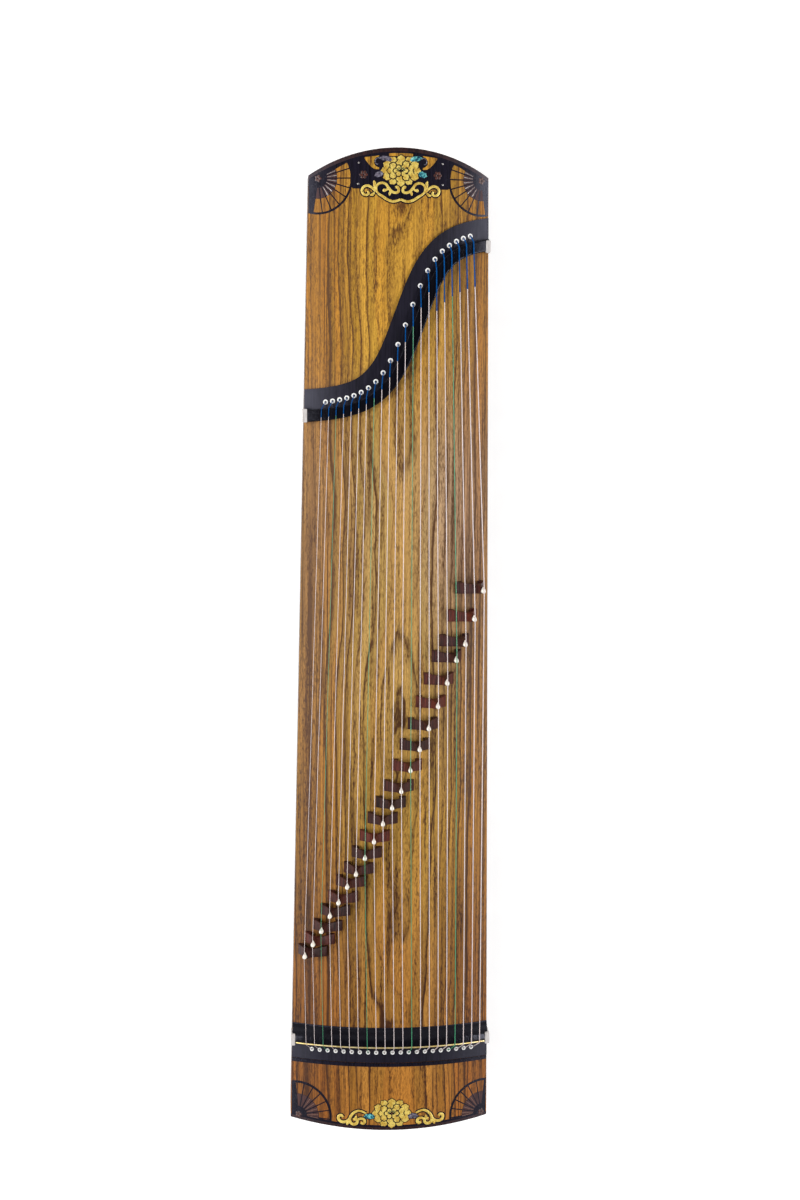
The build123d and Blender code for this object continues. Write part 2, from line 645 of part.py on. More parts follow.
# ---- bridges ----
for index in range(STRINGS):
    place_x = bridge_x(index)
    angle = spread(BRIDGE_ANGLES, index)
    height = bridge_height(index)
    foot_length = spread((TREBLE_FOOT_LENGTH, BASS_FOOT_LENGTH), index)
    shoulder = height - TIP_HEIGHT
    crown_side = height - TIP_CROWN
    front_view = across_arch(place_x, angle, ARCH_RADIUS)
    plan_view = square_to_arch(place_x, angle, ARCH_RADIUS)
    side_view = Plane(front_view.origin, x_dir=(1, 0, 0), z_dir=-front_view.x_dir)
    foot_outer = FOOT_SPAN / 2
    with BuildPart() as bridge_body:
        with BuildSketch(front_view):
            with BuildLine():
                Line((-foot_outer, -FOOT_DROP), (-foot_outer, FOOT_TOE))
                Spline(
                    (-foot_outer, FOOT_TOE),
                    (-LEG_HALF, height * LEG_RISE),
                    (-NECK / 2, height * NECK_RISE),
                    tangents=((FOOT_LEAN, 1), (NECK_LEAN, 1)),
                )
                Polyline(
                    (-NECK / 2, height * NECK_RISE), (-HEAD / 2, shoulder),
                    (HEAD / 2, shoulder), (NECK / 2, height * NECK_RISE),
                )
                Spline(
                    (NECK / 2, height * NECK_RISE),
                    (LEG_HALF, height * LEG_RISE),
                    (foot_outer, FOOT_TOE),
                    tangents=((NECK_LEAN, -1), (FOOT_LEAN, -1)),
                )
                Line((foot_outer, FOOT_TOE), (foot_outer, -FOOT_DROP))
                Line((foot_outer, -FOOT_DROP), (ARCH_HALF, -FOOT_DROP))
                ThreePointArc((ARCH_HALF, -FOOT_DROP), (0, height * ARCH_RISE), (-ARCH_HALF, -FOOT_DROP))
                Line((-ARCH_HALF, -FOOT_DROP), (-foot_outer, -FOOT_DROP))
            make_face()
        extrude(amount=foot_length, both=True)
        with BuildSketch(side_view):
            Polygon(
                (-foot_length / 2, -FOOT_DROP), (foot_length / 2, -FOOT_DROP),
                (HEAD_FRONT, shoulder), (-HEAD_REAR, shoulder),
                align=None,
            )
        extrude(amount=FOOT_SPAN, both=True, mode=Mode.INTERSECT)
        add(under_arch(ARCH_RADIUS + SLIDE_CLEARANCE), mode=Mode.SUBTRACT)
    with BuildPart() as bridge_tip:
        with BuildSketch(front_view):
            with BuildLine():
                Polyline(
                    (-HEAD / 2, crown_side), (-HEAD / 2, shoulder),
                    (HEAD / 2, shoulder), (HEAD / 2, crown_side),
                )
                ThreePointArc((HEAD / 2, crown_side), (0, height), (-HEAD / 2, crown_side))
            make_face()
        extrude(amount=TIP_POINT, both=True)
        with BuildSketch(plan_view):
            with BuildLine():
                ThreePointArc((TIP_TOUCH_X, -TIP_TOUCH_Y), (TIP_ROUND, 0), (TIP_TOUCH_X, TIP_TOUCH_Y))
                Polyline((TIP_TOUCH_X, TIP_TOUCH_Y), (-TIP_POINT, 0), (TIP_TOUCH_X, -TIP_TOUCH_Y))
            make_face()
        extrude(amount=height, mode=Mode.INTERSECT)
        with BuildSketch(side_view):
            Polygon(
                (-TIP_POINT, shoulder), (TIP_ROUND, shoulder),
                (TIP_ROUND, shoulder + TIP_NOSE), (TIP_LAND, height),
                (-TIP_LAND, height), (-TIP_POINT, shoulder + TIP_HEEL),
                align=None,
            )
        extrude(amount=HEAD, both=True, mode=Mode.INTERSECT)
        add(stretched(string_path(index)[2:5], string_radius(index) + STRING_GAP), mode=Mode.SUBTRACT)
    save_group([bridge_body.part, bridge_tip.part], f"bridge_{index + 1:02d}")

# ---- strings ----
string_solids = []
for index in range(STRINGS):
    string_solids.append(stretched(string_path(index), string_radius(index)))
save_group(string_solids, "strings")
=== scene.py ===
"""Looks of a 21-string board zither with an S-shaped rear ridge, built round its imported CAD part.

The frame is in metres: +X toward the head (tuning) end, +Y toward the bass side, +Z up. Sizes of the
inlays, strings and grain are named in millimetres and laid out on the arch by on_arch().
"""

import json
import math

import bmesh
import bpy
from mathutils import Matrix, Vector, kdtree


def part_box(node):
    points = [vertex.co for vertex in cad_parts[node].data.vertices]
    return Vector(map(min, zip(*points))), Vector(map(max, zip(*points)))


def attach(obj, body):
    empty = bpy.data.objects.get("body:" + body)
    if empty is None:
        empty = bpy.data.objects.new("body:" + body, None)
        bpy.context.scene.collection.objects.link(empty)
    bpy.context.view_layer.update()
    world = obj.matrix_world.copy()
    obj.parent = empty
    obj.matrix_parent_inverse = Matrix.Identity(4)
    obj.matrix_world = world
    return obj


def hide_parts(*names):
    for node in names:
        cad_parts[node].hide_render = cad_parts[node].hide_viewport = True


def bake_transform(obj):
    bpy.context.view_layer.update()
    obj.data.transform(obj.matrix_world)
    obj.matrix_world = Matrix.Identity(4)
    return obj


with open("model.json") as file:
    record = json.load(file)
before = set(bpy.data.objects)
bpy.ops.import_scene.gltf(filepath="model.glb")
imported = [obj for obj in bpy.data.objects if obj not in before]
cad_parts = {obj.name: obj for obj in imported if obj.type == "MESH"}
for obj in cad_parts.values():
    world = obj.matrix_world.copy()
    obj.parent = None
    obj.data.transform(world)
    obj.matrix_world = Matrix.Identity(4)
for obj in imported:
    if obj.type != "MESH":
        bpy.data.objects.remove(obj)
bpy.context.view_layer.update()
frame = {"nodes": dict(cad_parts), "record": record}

# ---- places taken from the frame ----
MM = 0.001
NODES = frame["nodes"]
BOARD_LOW, BOARD_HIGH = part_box("soundboard")
LID_LOW, LID_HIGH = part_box("lid")
STRINGS = 21
CROWN_Z = BOARD_HIGH.z / MM
ARCH_RADIUS = 400.0                      # top of soundboard and lid
ARCH_AXIS_Z = CROWN_Z - ARCH_RADIUS
BOARD_TAIL = BOARD_LOW.x / MM            # where the soundboard starts behind the tail end board
TAIL_CURVE = 260.9                       # plan radius of that edge
LID_START = LID_LOW.x / MM
LID_END = LID_HIGH.x / MM                # where the lid stops before its end panel
LID_CURVE = 1172.2                       # plan radius of that edge
OVERLAP = 0.6                            # how far the dark grounds lap over the joints at the two ends

# ---- inlay layout, in millimetres along X and along the arch from the middle line ----
MIDDLE = 2.0                             # the ornaments sit this far toward the bass side
SUNK = -0.3                              # underside of every inlay, below the wood
GROUND = 0.12                            # heights of the layers above the wood
WINDOW = 0.22
LINE = 0.3
RAISED = 0.55
FAN_STEP = math.radians(16.5)            # angle from rib to rib
FAN_RINGS = 5                            # steps along a fan panel, to follow the arch
FAN_BORDER = 4.2                         # least dark border between a fan panel and the end of the body
TAIL_FAN = dict(x=-766.0, s=134.0, inner=32.0, outer=53.5, rim=57.0, ribs=8, first=math.radians(-17), cut=0.3)
HEAD_FAN = dict(x=797.0, s=160.0, inner=37.0, outer=55.5, rim=59.5, ribs=7, first=math.radians(-3), cut=0.2)
TAIL_REACH = 148.4                       # how far round the arch the dark tail ground goes
TAIL_GROUND_EDGE = -750.0                # head-side edge of the dark band between the tail fans
PETAL_LAYERS = ((12, 0.8), (9, 0.51), (6, 0.25))    # petals in a ring, and the ring's share of the flower
LID_BORDER = 6.5                         # dark band on the lid along its seam
LID_REACH = 170.8                        # how far round the arch the dark lid bands go
LID_RIM = 3.5                            # dark band on the lid along its outer edge

# ---- strings ----
GREEN_STRINGS = (3, 8, 13, 18)           # counted from the treble side
COIL_TURNS = 3.25
STRING_STEP = 18.0                       # longest piece of string tube
CORNER_RING = 1.6                        # points closer than this belong to one corner of a string
STRING_BEND = 1.4                        # how far from a corner a string starts to bend
SILK = 0.32                              # thickness of the silk wrap

# ---- CAD pieces with two finishes ----
TIP_HEIGHT = 6.0                         # the bone tip of a bridge
PLATE_TOP = 3.3                          # just over the plates beside the ridges


def paint(red, green, blue):
    """A display colour, 0 to 255, as linear light."""
    shares = [channel / 255 for channel in (red, green, blue)]
    return tuple(c / 12.92 if c <= 0.04045 else ((c + 0.055) / 1.055) ** 2.4 for c in shares) + (1.0,)


# ---- materials ----
class Finish:
    """A node material being built. Lengths inside it are millimetres in the frame at rest."""

    def __init__(self, name):
        self.material = bpy.data.materials.new(name)
        self.material.use_nodes = True
        self.tree = self.material.node_tree
        self.shader = self.tree.nodes["Principled BSDF"]
        place = self.tree.nodes.new("ShaderNodeTexCoord").outputs["Object"]
        self.place = self.node("ShaderNodeVectorMath", {0: place, "Scale": 1 / MM}, operation="SCALE").outputs[0]
        split = self.node("ShaderNodeSeparateXYZ", {0: self.place})
        self.x, self.y, self.z = split.outputs

    def node(self, kind, inputs, **settings):
        """Adds a node and fills its inputs with sockets or values."""
        made = self.tree.nodes.new(kind)
        for name, value in settings.items():
            setattr(made, name, value)
        for key, value in inputs.items():
            if isinstance(value, bpy.types.NodeSocket):
                self.tree.links.new(value, made.inputs[key])
            else:
                made.inputs[key].default_value = value
        return made

    def math(self, operation, *values):
        return self.node("ShaderNodeMath", dict(enumerate(values)), operation=operation).outputs[0]

    def total(self, *values):
        result = values[0]
        for value in values[1:]:
            result = self.math("ADD", result, value)
        return result

    def noise(self, along, across, seed=0.0, detail=2.0, upright=None):
        """Smooth noise, 0 to 1, with features this long along X, this wide along Y and this tall along Z."""
        sizes = (along, across, across if upright is None else upright)
        stretch = tuple(1 / size if size else 0.0 for size in sizes)
        point = self.node("ShaderNodeVectorMath", {0: self.place, 1: stretch}, operation="MULTIPLY").outputs[0]
        inputs = {"Vector": point, "W": seed, "Scale": 1.0, "Detail": detail}
        return self.node("ShaderNodeTexNoise", inputs, noise_dimensions="4D").outputs[0]

    def swing(self, amount, *noise, **more):
        """Noise that swings this far to either side of nothing."""
        return self.spread(self.noise(*noise, **more), 0.25, 0.75, -amount, amount, smooth=False)

    def spread(self, value, low, high, new_low=0.0, new_high=1.0, smooth=True):
        """value from low..high mapped to new_low..new_high, and held at the ends."""
        kind = "SMOOTHSTEP" if smooth else "LINEAR"
        inputs = {0: value, 1: low, 2: high, 3: new_low, 4: new_high}
        return self.node("ShaderNodeMapRange", inputs, interpolation_type=kind).outputs[0]

    def mix(self, share, first, second, blend_type="MIX"):
        inputs = {0: share, 6: first, 7: second}
        made = self.node("ShaderNodeMix", inputs, data_type="RGBA", blend_type=blend_type)
        return made.outputs[2]

    def ramp(self, value, *stops):
        """Colours at positions 0 to 1, in order."""
        made = self.node("ShaderNodeValToRGB", {0: value})
        elements = made.color_ramp.elements
        while len(elements) < len(stops):
            elements.new(0.5)
        for element, (position, colour) in zip(elements, stops):
            element.position = position
            element.color = colour
        return made.outputs[0]

    def shade(self, colour, amount):
        """colour made lighter or darker by a factor."""
        return self.node("ShaderNodeVectorMath", {0: colour, "Scale": amount}, operation="SCALE").outputs[0]

    def bell(self, x, y, along, across):
        """1 at a place on the board, falling to 0 over these distances."""
        near_x = self.math("POWER", self.math("DIVIDE", self.math("SUBTRACT", self.x, x), along), 2.0)
        near_y = self.math("POWER", self.math("DIVIDE", self.math("SUBTRACT", self.y, y), across), 2.0)
        return self.math("EXPONENT", self.math("MULTIPLY", self.math("ADD", near_x, near_y), -1.0))

    def finish(self, colour, roughness, height=None, depth=0.05, **more):
        """Connects the shader. height is a bump of this depth in millimetres."""
        values = {"Base Color": colour, "Roughness": roughness, **more}
        if height is not None:
            inputs = {"Height": height, "Distance": depth * MM, "Strength": 1.0}
            values["Normal"] = self.node("ShaderNodeBump", inputs).outputs[0]
        for name, value in values.items():
            if isinstance(value, bpy.types.NodeSocket):
                self.tree.links.new(value, self.shader.inputs[name])
            else:
                self.shader.inputs[name].default_value = value
        return self.material


RING = 7.0                # spacing of the growth rings
PITH_DEPTH = 74.0         # the rings' middle lies this far below the crown
PITH_SIDE = 8.0           # and this far toward the bass side
KNOTS = ((-722.0, 3.0), (632.0, -6.0))


def growth_rings(f, spacing, seed):
    """Distance from the pith counted in rings: its fraction runs from one dark line to the next."""
    pith_z = f.math("ADD", f.swing(9.0, 430.0, 0, seed), CROWN_Z - PITH_DEPTH)
    pith_y = f.math("ADD", f.swing(9.0, 420.0, 0, seed + 3), PITH_SIDE)
    deep = f.math("POWER", f.math("SUBTRACT", f.z, pith_z), 2.0)
    wide = f.math("POWER", f.math("SUBTRACT", f.y, pith_y), 2.0)
    radius = f.math("SQRT", f.math("ADD", deep, wide))
    parts = [radius, f.swing(1.8, 240.0, 34.0, seed + 5), f.swing(0.5, 30.0, 7.0, seed + 6)]
    for x, y in KNOTS:
        parts.append(f.math("MULTIPLY", f.bell(x, y, 80.0, 24.0), 7.0))
    rings = f.math("DIVIDE", f.total(*parts), spacing)
    uneven = f.node("ShaderNodeTexNoise", {"W": f.math("MULTIPLY", rings, 0.37), "Scale": 1.0, "Detail": 1.0},
                    noise_dimensions="1D").outputs[0]
    return f.math("ADD", rings, f.math("MULTIPLY", uneven, 2.2))


def paulownia(name, seed):
    """Plain-sawn paulownia: golden, with dark growth lines, streaks and short open pores."""
    f = Finish(name)
    rings = growth_rings(f, RING, seed)
    phase = f.math("FRACT", rings)
    each = f.node("ShaderNodeTexWhiteNoise", {"W": f.math("FLOOR", rings)}, noise_dimensions="1D").outputs[0]
    along = f.spread(f.x, -815.0, 815.0, smooth=False)
    light = f.ramp(along, (0.0, paint(200, 150, 54)), (0.2, paint(200, 152, 58)), (0.32, paint(192, 156, 96)),
                   (0.5, paint(194, 156, 88)), (0.68, paint(194, 150, 68)), (0.81, paint(174, 126, 60)),
                   (1.0, paint(182, 122, 48)))
    dark = f.ramp(along, (0.0, paint(90, 56, 22)), (0.4, paint(88, 58, 34)), (0.8, paint(64, 36, 18)),
                  (1.0, paint(70, 38, 16)))
    tinted = f.ramp(each, (0.0, paint(255, 244, 228)), (0.5, paint(255, 255, 255)), (1.0, paint(232, 232, 210)))
    light = f.mix(1.0, light, tinted, "MULTIPLY")
    # painted reflection: a pale pinkish patch toward the tail and the bass side of the middle stands in for a soft
    # sheen on the satin finish
    light = f.mix(f.math("MULTIPLY", f.bell(-230.0, 95.0, 210.0, 45.0), 0.5), light, paint(196, 166, 150))
    off_middle = f.math("ABSOLUTE", f.math("SUBTRACT", f.y, PITH_SIDE))
    edge = f.spread(off_middle, 40.0, 140.0)
    light = f.mix(edge, light, f.shade(f.mix(1.0, light, paint(246, 226, 214), "MULTIPLY"), 0.78))
    line = f.ramp(phase, (0.0, paint(120, 120, 120)), (0.14, paint(70, 70, 70)), (0.5, paint(76, 76, 76)),
                  (0.74, paint(170, 170, 170)), (0.88, paint(255, 255, 255)), (1.0, paint(120, 120, 120)))
    strength = f.math("MULTIPLY", f.spread(each, 0.0, 1.0, 0.42, 1.6, smooth=False),
                      f.spread(f.noise(170.0, 8.0, seed + 9), 0.3, 0.7, 0.6, 1.1))
    lines = f.math("MULTIPLY", line, strength)
    hairlines = f.spread(f.noise(420.0, 1.7, seed + 11, detail=1.0), 0.5, 0.68, 0.0, 0.8)
    lines = f.math("MAXIMUM", lines, f.math("MULTIPLY", hairlines, f.math("ADD", edge, 0.35)))
    edge_streak = f.math("MULTIPLY", f.spread(f.x, -540.0, -60.0), f.bell(0.0, -140.0, 4000.0, 12.0))
    edge_streak = f.math("MULTIPLY", edge_streak, f.spread(f.noise(160.0, 5.0, seed + 12), 0.35, 0.65, 0.45, 1.0))
    streaks = f.spread(f.noise(260.0, 9.0, seed + 14, detail=4.0), 0.50, 0.68, 0.0, 0.8)
    darkness = f.math("MAXIMUM", f.math("MAXIMUM", lines, edge_streak), streaks)
    for x, y in KNOTS:
        cloud = f.math("MULTIPLY", f.bell(x, y, 15.0, 11.0), f.spread(f.noise(9.0, 5.0, seed + 16), 0.3, 0.6, 0.6, 1.2))
        darkness = f.math("MAXIMUM", darkness, cloud)
    figure = f.spread(f.noise(130.0, 12.0, seed + 26), 0.34, 0.62, 0.35, 1.0)
    flecks = f.math("MAXIMUM", f.spread(f.noise(10.0, 1.9, seed + 25, detail=3.0), 0.47, 0.62),
                    f.spread(f.noise(4.5, 1.1, seed + 27, detail=1.0), 0.56, 0.66, 0.0, 0.8))
    flecks = f.math("MULTIPLY", flecks, f.math("MULTIPLY", figure, 0.55))
    darkness = f.math("MINIMUM", f.math("ADD", darkness, flecks), 1.0)
    colour = f.mix(darkness, light, dark)
    colour = f.shade(colour, f.total(f.swing(0.26, 160.0, 2.2, seed + 20, detail=4.0),
                                     f.swing(0.12, 300.0, 46.0, seed + 21), 1.04))
    pores = f.spread(f.noise(6.0, 0.7, seed + 30, detail=2.0), 0.60, 0.68)
    pores = f.math("MULTIPLY", pores, f.spread(f.noise(60.0, 9.0, seed + 31), 0.35, 0.65, 0.3, 0.9))
    colour = f.mix(pores, colour, paint(50, 28, 12))
    fibre = f.noise(40.0, 0.7, seed + 33, detail=3.0)
    height = f.math("SUBTRACT", f.math("MULTIPLY", fibre, 0.35), f.math("MAXIMUM", pores, lines))
    roughness = f.math("ADD", f.swing(0.06, 30.0, 6.0, seed + 35), 0.5)
    return f.finish(colour, roughness, height, 0.045, **{"Specular IOR Level": 0.2})


COOL_SHEEN = (0.8, 0.81, 1.0, 1.0)


def streaked_wood(name, light, dark, roughness, sizes=(130.0, 2.4), pore=0.55, coat=0.0, seed=0.0, shine=0.35):
    """Close-grained wood: long streaks between two tones, fine pores and a slight unevenness of sheen."""
    f = Finish(name)
    length, width = sizes
    bands = f.spread(f.noise(length, width, seed, detail=4.0), 0.34, 0.66)
    patches = f.noise(length * 1.8, width * 9, seed + 1)
    tone = f.math("MULTIPLY", bands, f.spread(patches, 0.3, 0.7, 0.6, 1.0))
    colour = f.mix(tone, light, dark)
    pores = f.spread(f.noise(3.6, 0.3, seed + 2, detail=1.0), 0.63, 0.70)
    colour = f.mix(f.math("MULTIPLY", pores, pore), colour, f.shade(f.mix(1.0, dark, dark), 0.45))
    height = f.math("SUBTRACT", f.math("MULTIPLY", bands, 0.3), pores)
    sheen = f.math("ADD", f.swing(0.06, 18.0, 5.0, seed + 4), roughness)
    gloss = {"Coat Weight": coat, "Coat Roughness": 0.12, "Specular IOR Level": shine, "Specular Tint": COOL_SHEEN}
    return f.finish(colour, sheen, height, 0.03, **gloss)


def bridge_wood(name):
    """Oiled rosewood that varies from bridge to bridge between near-black and reddish brown."""
    f = Finish(name)
    piece = f.node("ShaderNodeObjectInfo", {}).outputs["Random"]
    light = f.ramp(piece, (0.0, paint(58, 29, 27)), (0.6, paint(76, 36, 31)), (1.0, paint(112, 44, 30)))
    dark = f.ramp(piece, (0.0, paint(24, 11, 11)), (0.6, paint(32, 14, 13)), (1.0, paint(52, 18, 12)))
    bands = f.spread(f.noise(26.0, 1.9, 9.0, detail=4.0), 0.34, 0.66)
    pores = f.spread(f.noise(3.6, 0.4, 11.0, detail=1.0), 0.60, 0.68, 0.0, 0.6)
    colour = f.mix(pores, f.mix(bands, light, dark), paint(12, 7, 7))
    sheen = f.math("ADD", f.swing(0.06, 12.0, 4.0, 13.0), 0.46)
    height = f.math("SUBTRACT", f.math("MULTIPLY", bands, 0.3), pores)
    return f.finish(colour, sheen, height, 0.04, **{"Specular IOR Level": 0.18})


def metal(name, bright, dull, roughness, along=9.0, across=0.6, seed=0.0):
    """Drawn metal with fine lines and patches of tarnish."""
    f = Finish(name)
    lines = f.noise(along, across, seed, detail=3.0)
    colour = f.mix(f.spread(f.noise(6.0, 6.0, seed + 1, detail=3.0), 0.4, 0.7), bright, dull)
    sheen = f.math("ADD", f.swing(0.10, 5.0, 5.0, seed + 2), roughness)
    return f.finish(colour, sheen, lines, 0.012, Metallic=1.0)


def wound_string(name, colour, groove_shade, pitch):
    """Smooth outer winding of a string: fine turns, with a soft shine and painted shade in the grooves between them."""
    f = Finish(name)
    turns = f.math("SINE", f.math("MULTIPLY", f.math("ADD", f.x, f.z), 2 * math.pi / pitch))
    # the groove colour is painted shade in the hollows between the turns
    toned = f.mix(f.spread(turns, -1.0, 0.2), groove_shade, colour)
    toned = f.shade(toned, f.math("ADD", f.swing(0.07, 25.0, 3.0, 2.0), 1.0))
    return f.finish(toned, 0.32, turns, 0.02, **{"Coat Weight": 0.3, "Coat Roughness": 0.15})


def silk(name):
    """Blue silk thread wound round a string's end."""
    f = Finish(name)
    slant = f.total(f.x, f.math("MULTIPLY", f.y, 0.6), f.math("MULTIPLY", f.z, 0.4))
    turns = f.math("SINE", f.math("MULTIPLY", slant, 2 * math.pi / 0.9))
    shine = f.spread(f.math("ADD", turns, f.swing(0.8, 4.0, 0.8, 5.0)), -1.0, 1.2)
    colour = f.mix(shine, paint(0, 40, 90), paint(0, 96, 172))
    return f.finish(colour, 0.7, turns, 0.05, **{"Specular IOR Level": 0.06})


def bone(name, light, warm, seed):
    """Polished bone: ivory with faint lengthwise veins."""
    f = Finish(name)
    veins = f.spread(f.noise(9.0, 0.8, seed, detail=4.0), 0.42, 0.7)
    colour = f.mix(veins, light, warm)
    sheen = f.math("ADD", f.swing(0.05, 4.0, 2.0, seed + 1), 0.3)
    return f.finish(colour, sheen, veins, 0.02, **{"Coat Weight": 0.35, "Coat Roughness": 0.1})


def gold_inlay(name):
    """Pale gold wood-and-brass inlay with engraved hairlines."""
    f = Finish(name)
    patches = f.spread(f.noise(7.0, 7.0, 3.0, detail=3.0), 0.36, 0.66)
    colour = f.mix(patches, paint(236, 210, 108), paint(204, 164, 64))
    lines = f.spread(f.noise(2.4, 0.9, 6.0, detail=3.0), 0.54, 0.64)
    colour = f.mix(f.math("MULTIPLY", lines, 0.7), colour, paint(104, 74, 26))
    sheen = f.math("ADD", f.swing(0.10, 4.0, 4.0, 8.0), 0.38)
    return f.finish(colour, sheen, f.math("SUBTRACT", 1.0, lines), 0.05, Metallic=0.25)


def shell_inlay(name, seed, *tones):
    """Iridescent shell: cells and bands of shifting colour under a polished face."""
    f = Finish(name)
    bands = f.noise(5.0, 4.0, seed, detail=4.0)
    cells = f.node("ShaderNodeTexVoronoi", {"Vector": f.place, "Scale": 0.42}).outputs["Distance"]
    mixed = f.math("ADD", f.math("MULTIPLY", bands, 0.8), f.math("MULTIPLY", cells, 0.2))
    stops = [(0.34 + 0.36 * index / (len(tones) - 1), tone) for index, tone in enumerate(tones)]
    colour = f.ramp(mixed, *stops)
    return f.finish(colour, 0.16, cells, 0.02, **{"Coat Weight": 0.6, "Coat Roughness": 0.05})


def speckled(name, first, second, roughness, size, metallic=0.0, depth=0.03, seed=0.0):
    """Plain finish with fine mottling, for small inlays and felt-like parts."""
    f = Finish(name)
    grains = f.spread(f.noise(size, size, seed, detail=4.0), 0.38, 0.64)
    sheen = f.math("ADD", f.swing(0.06, size * 4, size * 4, seed + 1), roughness)
    return f.finish(f.mix(grains, first, second), sheen, grains, depth, Metallic=metallic)


# near-black rosewood; its purple-blue tint is painted reflection, standing in for the cool sheen of the lamps on the
# plates
BLACK_WOOD = dict(light=paint(27, 24, 36), dark=paint(10, 9, 15))
MATERIALS = {
    "paulownia": paulownia("paulownia", 0.0),
    "spruce": streaked_wood("spruce", paint(222, 190, 138), paint(190, 150, 96), 0.62, (200.0, 1.8), 0.25),
    "rosewood": streaked_wood("rosewood", paint(52, 30, 27), paint(20, 11, 12), 0.4, (150.0, 3.0), 0.6, 0.06, 4.0),
    "black_rosewood": streaked_wood("black_rosewood", roughness=0.4, sizes=(60.0, 1.6), seed=7.0, **BLACK_WOOD),
    "bridge_rosewood": bridge_wood("bridge_rosewood"),
    "hardwood": streaked_wood("hardwood", paint(196, 150, 98), paint(150, 104, 60), 0.52, (80.0, 2.0), 0.4, 0.0, 11.0),
    "bone": bone("bone", paint(240, 236, 226), paint(214, 203, 184), 1.0),
    "brass_wire": metal("brass_wire", paint(250, 232, 176), paint(226, 196, 120), 0.42, seed=1.0),
    "hinge_brass": metal("hinge_brass", paint(224, 188, 108), paint(150, 114, 56), 0.34, seed=2.0),
    "pin_steel": metal("pin_steel", paint(200, 202, 206), paint(120, 122, 128), 0.28, 0.5, 9.0, seed=3.0),
    "string_nylon": wound_string("string_nylon", paint(236, 224, 224), paint(150, 130, 130), 0.7),
    "string_green": wound_string("string_green", paint(60, 158, 112), paint(24, 84, 56), 0.7),
    "silk_blue": silk("silk_blue"),
    "inlay_gold": gold_inlay("inlay_gold"),
    "inlay_shell": shell_inlay("inlay_shell", 2.0, paint(16, 40, 56), paint(30, 92, 112), paint(96, 178, 178),
                               paint(176, 224, 214)),
    "inlay_dark": streaked_wood("inlay_dark", roughness=0.24, sizes=(40.0, 1.4), seed=15.0, shine=0.24, **BLACK_WOOD),
}
RIDGE_BLACK = streaked_wood("ridge_black", paint(14, 13, 19), paint(5, 5, 8), 0.17, (60.0, 1.6), seed=7.0, shine=0.22)
CAP_GREY = bone("end_cap", paint(206, 202, 200), paint(168, 160, 158), 12.0)
EYELET_WHITE = speckled("eyelet_white", paint(255, 255, 253), paint(236, 236, 234), 0.3, 1.6, seed=2.0)
SILVER = speckled("silver_line", paint(190, 186, 184), paint(130, 124, 122), 0.3, 1.2, 0.6, seed=3.0)
DARK_SECTOR = streaked_wood("fan_rosewood", paint(78, 50, 44), paint(42, 25, 22), 0.4, (30.0, 1.4), seed=17.0, shine=0.24)
RAY_BROWN = speckled("ray_brown", paint(122, 84, 66), paint(88, 56, 46), 0.5, 1.4, seed=4.0)
RED_FLOWER = speckled("red_flower", paint(84, 42, 32), paint(44, 20, 18), 0.35, 2.2, seed=5.0)
STAMEN_GREEN = speckled("stamen_green", paint(78, 92, 48), paint(34, 48, 28), 0.4, 1.0, seed=6.0)
GREY_SHELL = shell_inlay("inlay_grey_shell", 8.0, paint(34, 34, 44), paint(74, 72, 84), paint(112, 104, 118),
                         paint(150, 160, 168))


# ---- geometry ----
def on_arch(x, s, height=0.0):
    """A point of the frame from a distance along X, a distance round the arch, and a height above it."""
    angle = s / ARCH_RADIUS
    radius = ARCH_RADIUS + height
    return Vector((x, radius * math.sin(angle), ARCH_AXIS_Z + radius * math.cos(angle))) * MM


def tail_edge(s):
    """Where the soundboard starts, this far round the arch."""
    y = ARCH_RADIUS * math.sin(s / ARCH_RADIUS)
    return BOARD_TAIL - OVERLAP + TAIL_CURVE - math.sqrt(TAIL_CURVE**2 - y**2)


def lid_edge(s):
    """Where the lid stops, this far round the arch."""
    y = ARCH_RADIUS * math.sin(s / ARCH_RADIUS)
    return LID_END + OVERLAP - LID_CURVE + math.sqrt(LID_CURVE**2 - y**2)


def add_object(mesh_maker, name, materials, body=None, smooth_angle=35.0):
    """Turns a bmesh into a named piece with its materials, riding on a body."""
    bmesh.ops.recalc_face_normals(mesh_maker, faces=mesh_maker.faces)
    mesh = bpy.data.meshes.new(name)
    mesh_maker.to_mesh(mesh)
    mesh_maker.free()
    mesh.polygons.foreach_set("use_smooth", [True] * len(mesh.polygons))
    mesh.set_sharp_from_angle(angle=math.radians(smooth_angle))
    for material in materials:
        mesh.materials.append(material)
    made = bpy.data.objects.new(name, mesh)
    bpy.context.scene.collection.objects.link(made)
    if body:
        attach(made, body)
    return made


